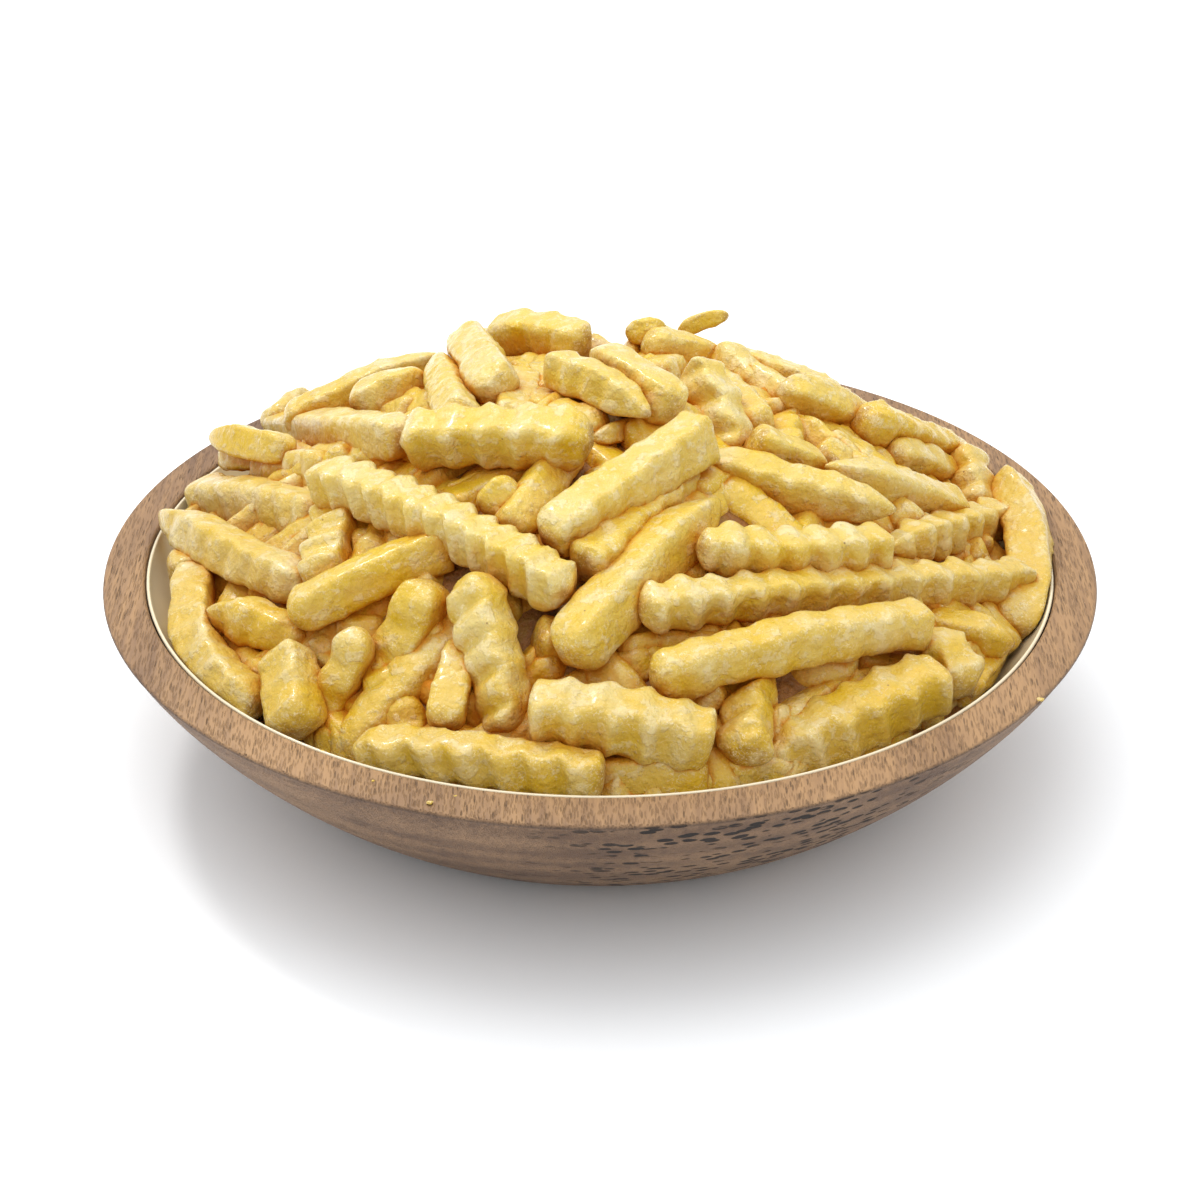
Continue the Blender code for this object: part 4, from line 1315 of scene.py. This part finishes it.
class FriesLook(bpy.types.PropertyGroup):
    """Cut and colours of the fries."""

    ripple_pitch: a_length("Ripple pitch", "From ridge to ridge", 0.009)
    ripple_depth: a_length("Ripple depth", "From ridge to furrow", 0.0021)
    blister_height: a_length("Blister height", "How far blisters stand out", 0.0009)
    golden: a_colour("Golden", "The deepest yellow", (0.625, 0.412, 0.012))
    cream: a_colour("Cream", "The palest yellow", (0.64, 0.50, 0.17))
    # Painted shade: the tint multiplied into the fries where they are shut in from the light
    amber: a_colour("Amber", "Tint of the fries where little light gets in", (0.87, 0.46, 0.03))
    browned: a_colour("Browned", "Colour of crisp tips", (0.27, 0.10, 0.012))
    translucence: a_number("Translucence", "How much light soaks in", 0.2, subtype="FACTOR", min=0.0, max=1.0)


class StageLook(bpy.types.PropertyGroup):
    """Light and floor."""

    floor: a_colour("Floor", "Colour of the floor", (0.90, 0.90, 0.90))
    sky: a_number("Sky", "Strength of the light from all round", 1.75, min=0.0)
    key: a_number("Overhead light", "Power of the soft light above", 5.0, unit="POWER")
    glint: a_number("Glint light", "Power of the small light behind", 3.2, unit="POWER")
    lens: a_number("Lens", "Focal length of the camera", 90.0, unit="CAMERA")


class FRIES_OT_bowl(bpy.types.Operator):
    """Turn the wooden bowl"""

    bl_idname = "fries.bowl"
    bl_label = "Wooden bowl"

    def execute(self, context):
        look = context.scene.bowl_look
        mesh = turned_mesh(bowl_profile(), look.turned_steps)
        finished_piece("turned_bowl", mesh, turned_wood(look), "bowl")
        return {"FINISHED"}


class FRIES_OT_lining(bpy.types.Operator):
    """Line the bowl with enamel"""

    bl_idname = "fries.lining"
    bl_label = "Enamel lining"

    def execute(self, context):
        look = context.scene.bowl_look
        mesh = turned_mesh(lining_profile(), look.turned_steps)
        finished_piece("enamel_lining", mesh, cream_enamel(look), "lining")
        return {"FINISHED"}


class FRIES_OT_core(bpy.types.Operator):
    """Fill the middle of the heap"""

    bl_idname = "fries.core"
    bl_label = "Heap core"

    def execute(self, context):
        mesh = turned_mesh(core_profile(), CORE_STEPS)
        finished_piece("heap_core", mesh, heap_core(context.scene.fries_look), "fries_heap")
        return {"FINISHED"}


class FRIES_OT_laid(bpy.types.Operator):
    """Lay the fries that show, by their kind of cut"""

    bl_idname = "fries.laid"
    bl_label = "Laid fries"

    def execute(self, context):
        look = context.scene.fries_look
        surface = fried_potato("Fried potato", look, 0.0)
        heap = laid_heap()
        for kind in ("crinkled", "ribbed", "smooth"):
            fries_piece(f"{kind}_fries", heap, kind, look, surface, FINE)
        return {"FINISHED"}


class FRIES_OT_loose(bpy.types.Operator):
    """Lay the fries at the back and underneath, and fill the gaps"""

    bl_idname = "fries.loose"
    bl_label = "Loose fries"

    def execute(self, context):
        look = context.scene.fries_look
        heap = laid_heap()
        fries_piece("back_fries", heap, "back", look, bpy.data.materials["Fried potato"], PLAIN)
        # A copy of the potato in painted shade, for the fries underneath and in the gaps
        deep = fried_potato("Fried potato in shade", look, IN_SHADE)
        fries_piece("under_fries", heap, "under", look, deep, ROUGH)
        fries_piece("fill_fries", add_fill(), "fill", look, deep, ROUGH)
        return {"FINISHED"}


class FRIES_OT_amber(bpy.types.Operator):
    """Measure how open the fries are to the light, for the amber shade painted into their colour where they
    are shut in
    """

    bl_idname = "fries.amber"
    bl_label = "Amber shade"

    def execute(self, context):
        kinds = ("crinkled", "ribbed", "smooth", "back", "under", "fill")
        pieces = [bpy.data.meshes[f"{kind}_fries"] for kind in kinds]
        whole = bmesh.new()
        for data in pieces:
            whole.from_mesh(data)
        tree = BVHTree.FromBMesh(whole)
        whole.free()
        for data in pieces:
            set_fact(data, "open", openness(tree, data))
        return {"FINISHED"}


class FRIES_OT_crumbs(bpy.types.Operator):
    """Drop a few crumbs on the rim"""

    bl_idname = "fries.crumbs"
    bl_label = "Crumbs"

    def execute(self, context):
        crumbs = bmesh.new()
        draw = random.Random(CRUMB_SEED)
        for across, up, size in CRUMBS:
            points = along_sight(across, up)
            place = points[np.argmin(np.abs(points[:, 2] - RIM_HEIGHT - RIM_CROWN / 2.0))]
            added = bmesh.ops.create_icosphere(crumbs, subdivisions=3, radius=size / 2.0)["verts"]
            for point in added:
                point.co *= 1.0 + CRUMB_LUMPS * noise.noise(point.co * CRUMB_DETAIL + Vector(place))
            bmesh.ops.scale(crumbs, vec=(1.0, draw.uniform(*CRUMB_DEPTHS), CRUMB_FLAT), verts=added)
            bmesh.ops.translate(crumbs, vec=Vector((*place[:2], place[2] + size * CRUMB_LIFT)), verts=added)
        surface = bpy.data.materials["Fried potato"]
        data = finished_piece("crumbs", crumbs, surface, "fries_heap").data
        for fact, value in CRUMB_FACTS.items():
            set_fact(data, fact, [value] * len(data.vertices))
        return {"FINISHED"}


class FRIES_OT_stage(bpy.types.Operator):
    """Set the floor, the light and the camera"""

    bl_idname = "fries.stage"
    bl_label = "Stage"

    def execute(self, context):
        scene = context.scene
        look = scene.stage_look
        mesh = bmesh.new()
        bmesh.ops.create_grid(mesh, x_segments=8, y_segments=8, size=FLOOR_REACH)
        placed("floor", mesh, pale_floor(look))

        studio = Surface(bpy.data.worlds.new("Studio"), "Background", "Generated")
        dimmed = {"Value": studio.axis("Z"), "To Min": look.sky * HORIZON, "To Max": look.sky}
        strength = studio.add("ShaderNodeMapRange", {}, dimmed)
        scene.world = studio.finished({"Color": BACKDROP, "Strength": strength})

        for name, power, (size, place) in (("Overhead", look.key, OVERHEAD), ("Glint", look.glint, GLINT)):
            lamp = bpy.data.lights.new(name, "AREA")
            lamp.shape = "DISK"
            lamp.size = size
            lamp.energy = power
            aimed(lamp, place, LAMP_AIM)

        lens = bpy.data.cameras.new("Front")
        lens.lens = look.lens
        lens.sensor_width = 36.0
        scene.camera = aimed(lens, Vector(EYE) * MM, (0.0, 0.0, SIGHT_HEIGHT * MM))
        scene.view_settings.view_transform = "Standard"
        return {"FINISHED"}


class FRIES_PT_panel(bpy.types.Panel):
    """Lists the pieces of the bowl of fries"""

    bl_label = "Bowl of crinkle-cut fries"
    bl_space_type = "VIEW_3D"
    bl_region_type = "UI"
    bl_category = "Fries"

    def draw(self, context):
        for operator in OPERATORS:
            self.layout.operator(operator.bl_idname)
        for look, kind in LOOKS.items():
            for name in kind.__annotations__:
                self.layout.prop(getattr(context.scene, look), name)


# The operators, in the order in which they run
OPERATORS = (
    FRIES_OT_bowl,
    FRIES_OT_lining,
    FRIES_OT_core,
    FRIES_OT_laid,
    FRIES_OT_loose,
    FRIES_OT_amber,
    FRIES_OT_crumbs,
    FRIES_OT_stage,
)
LOOKS = {"bowl_look": BowlLook, "fries_look": FriesLook, "stage_look": StageLook}
CLASSES = (*LOOKS.values(), *OPERATORS, FRIES_PT_panel)


def register():
    for entry in CLASSES:
        bpy.utils.register_class(entry)
    for look, kind in LOOKS.items():
        setattr(bpy.types.Scene, look, PointerProperty(type=kind))


def unregister():
    for look in LOOKS:
        delattr(bpy.types.Scene, look)
    for entry in reversed(CLASSES):
        bpy.utils.unregister_class(entry)


def main():
    register()
    for operator in OPERATORS:
        getattr(bpy.ops.fries, operator.bl_idname.split(".")[1])()


if __name__ == "__main__":
    main()
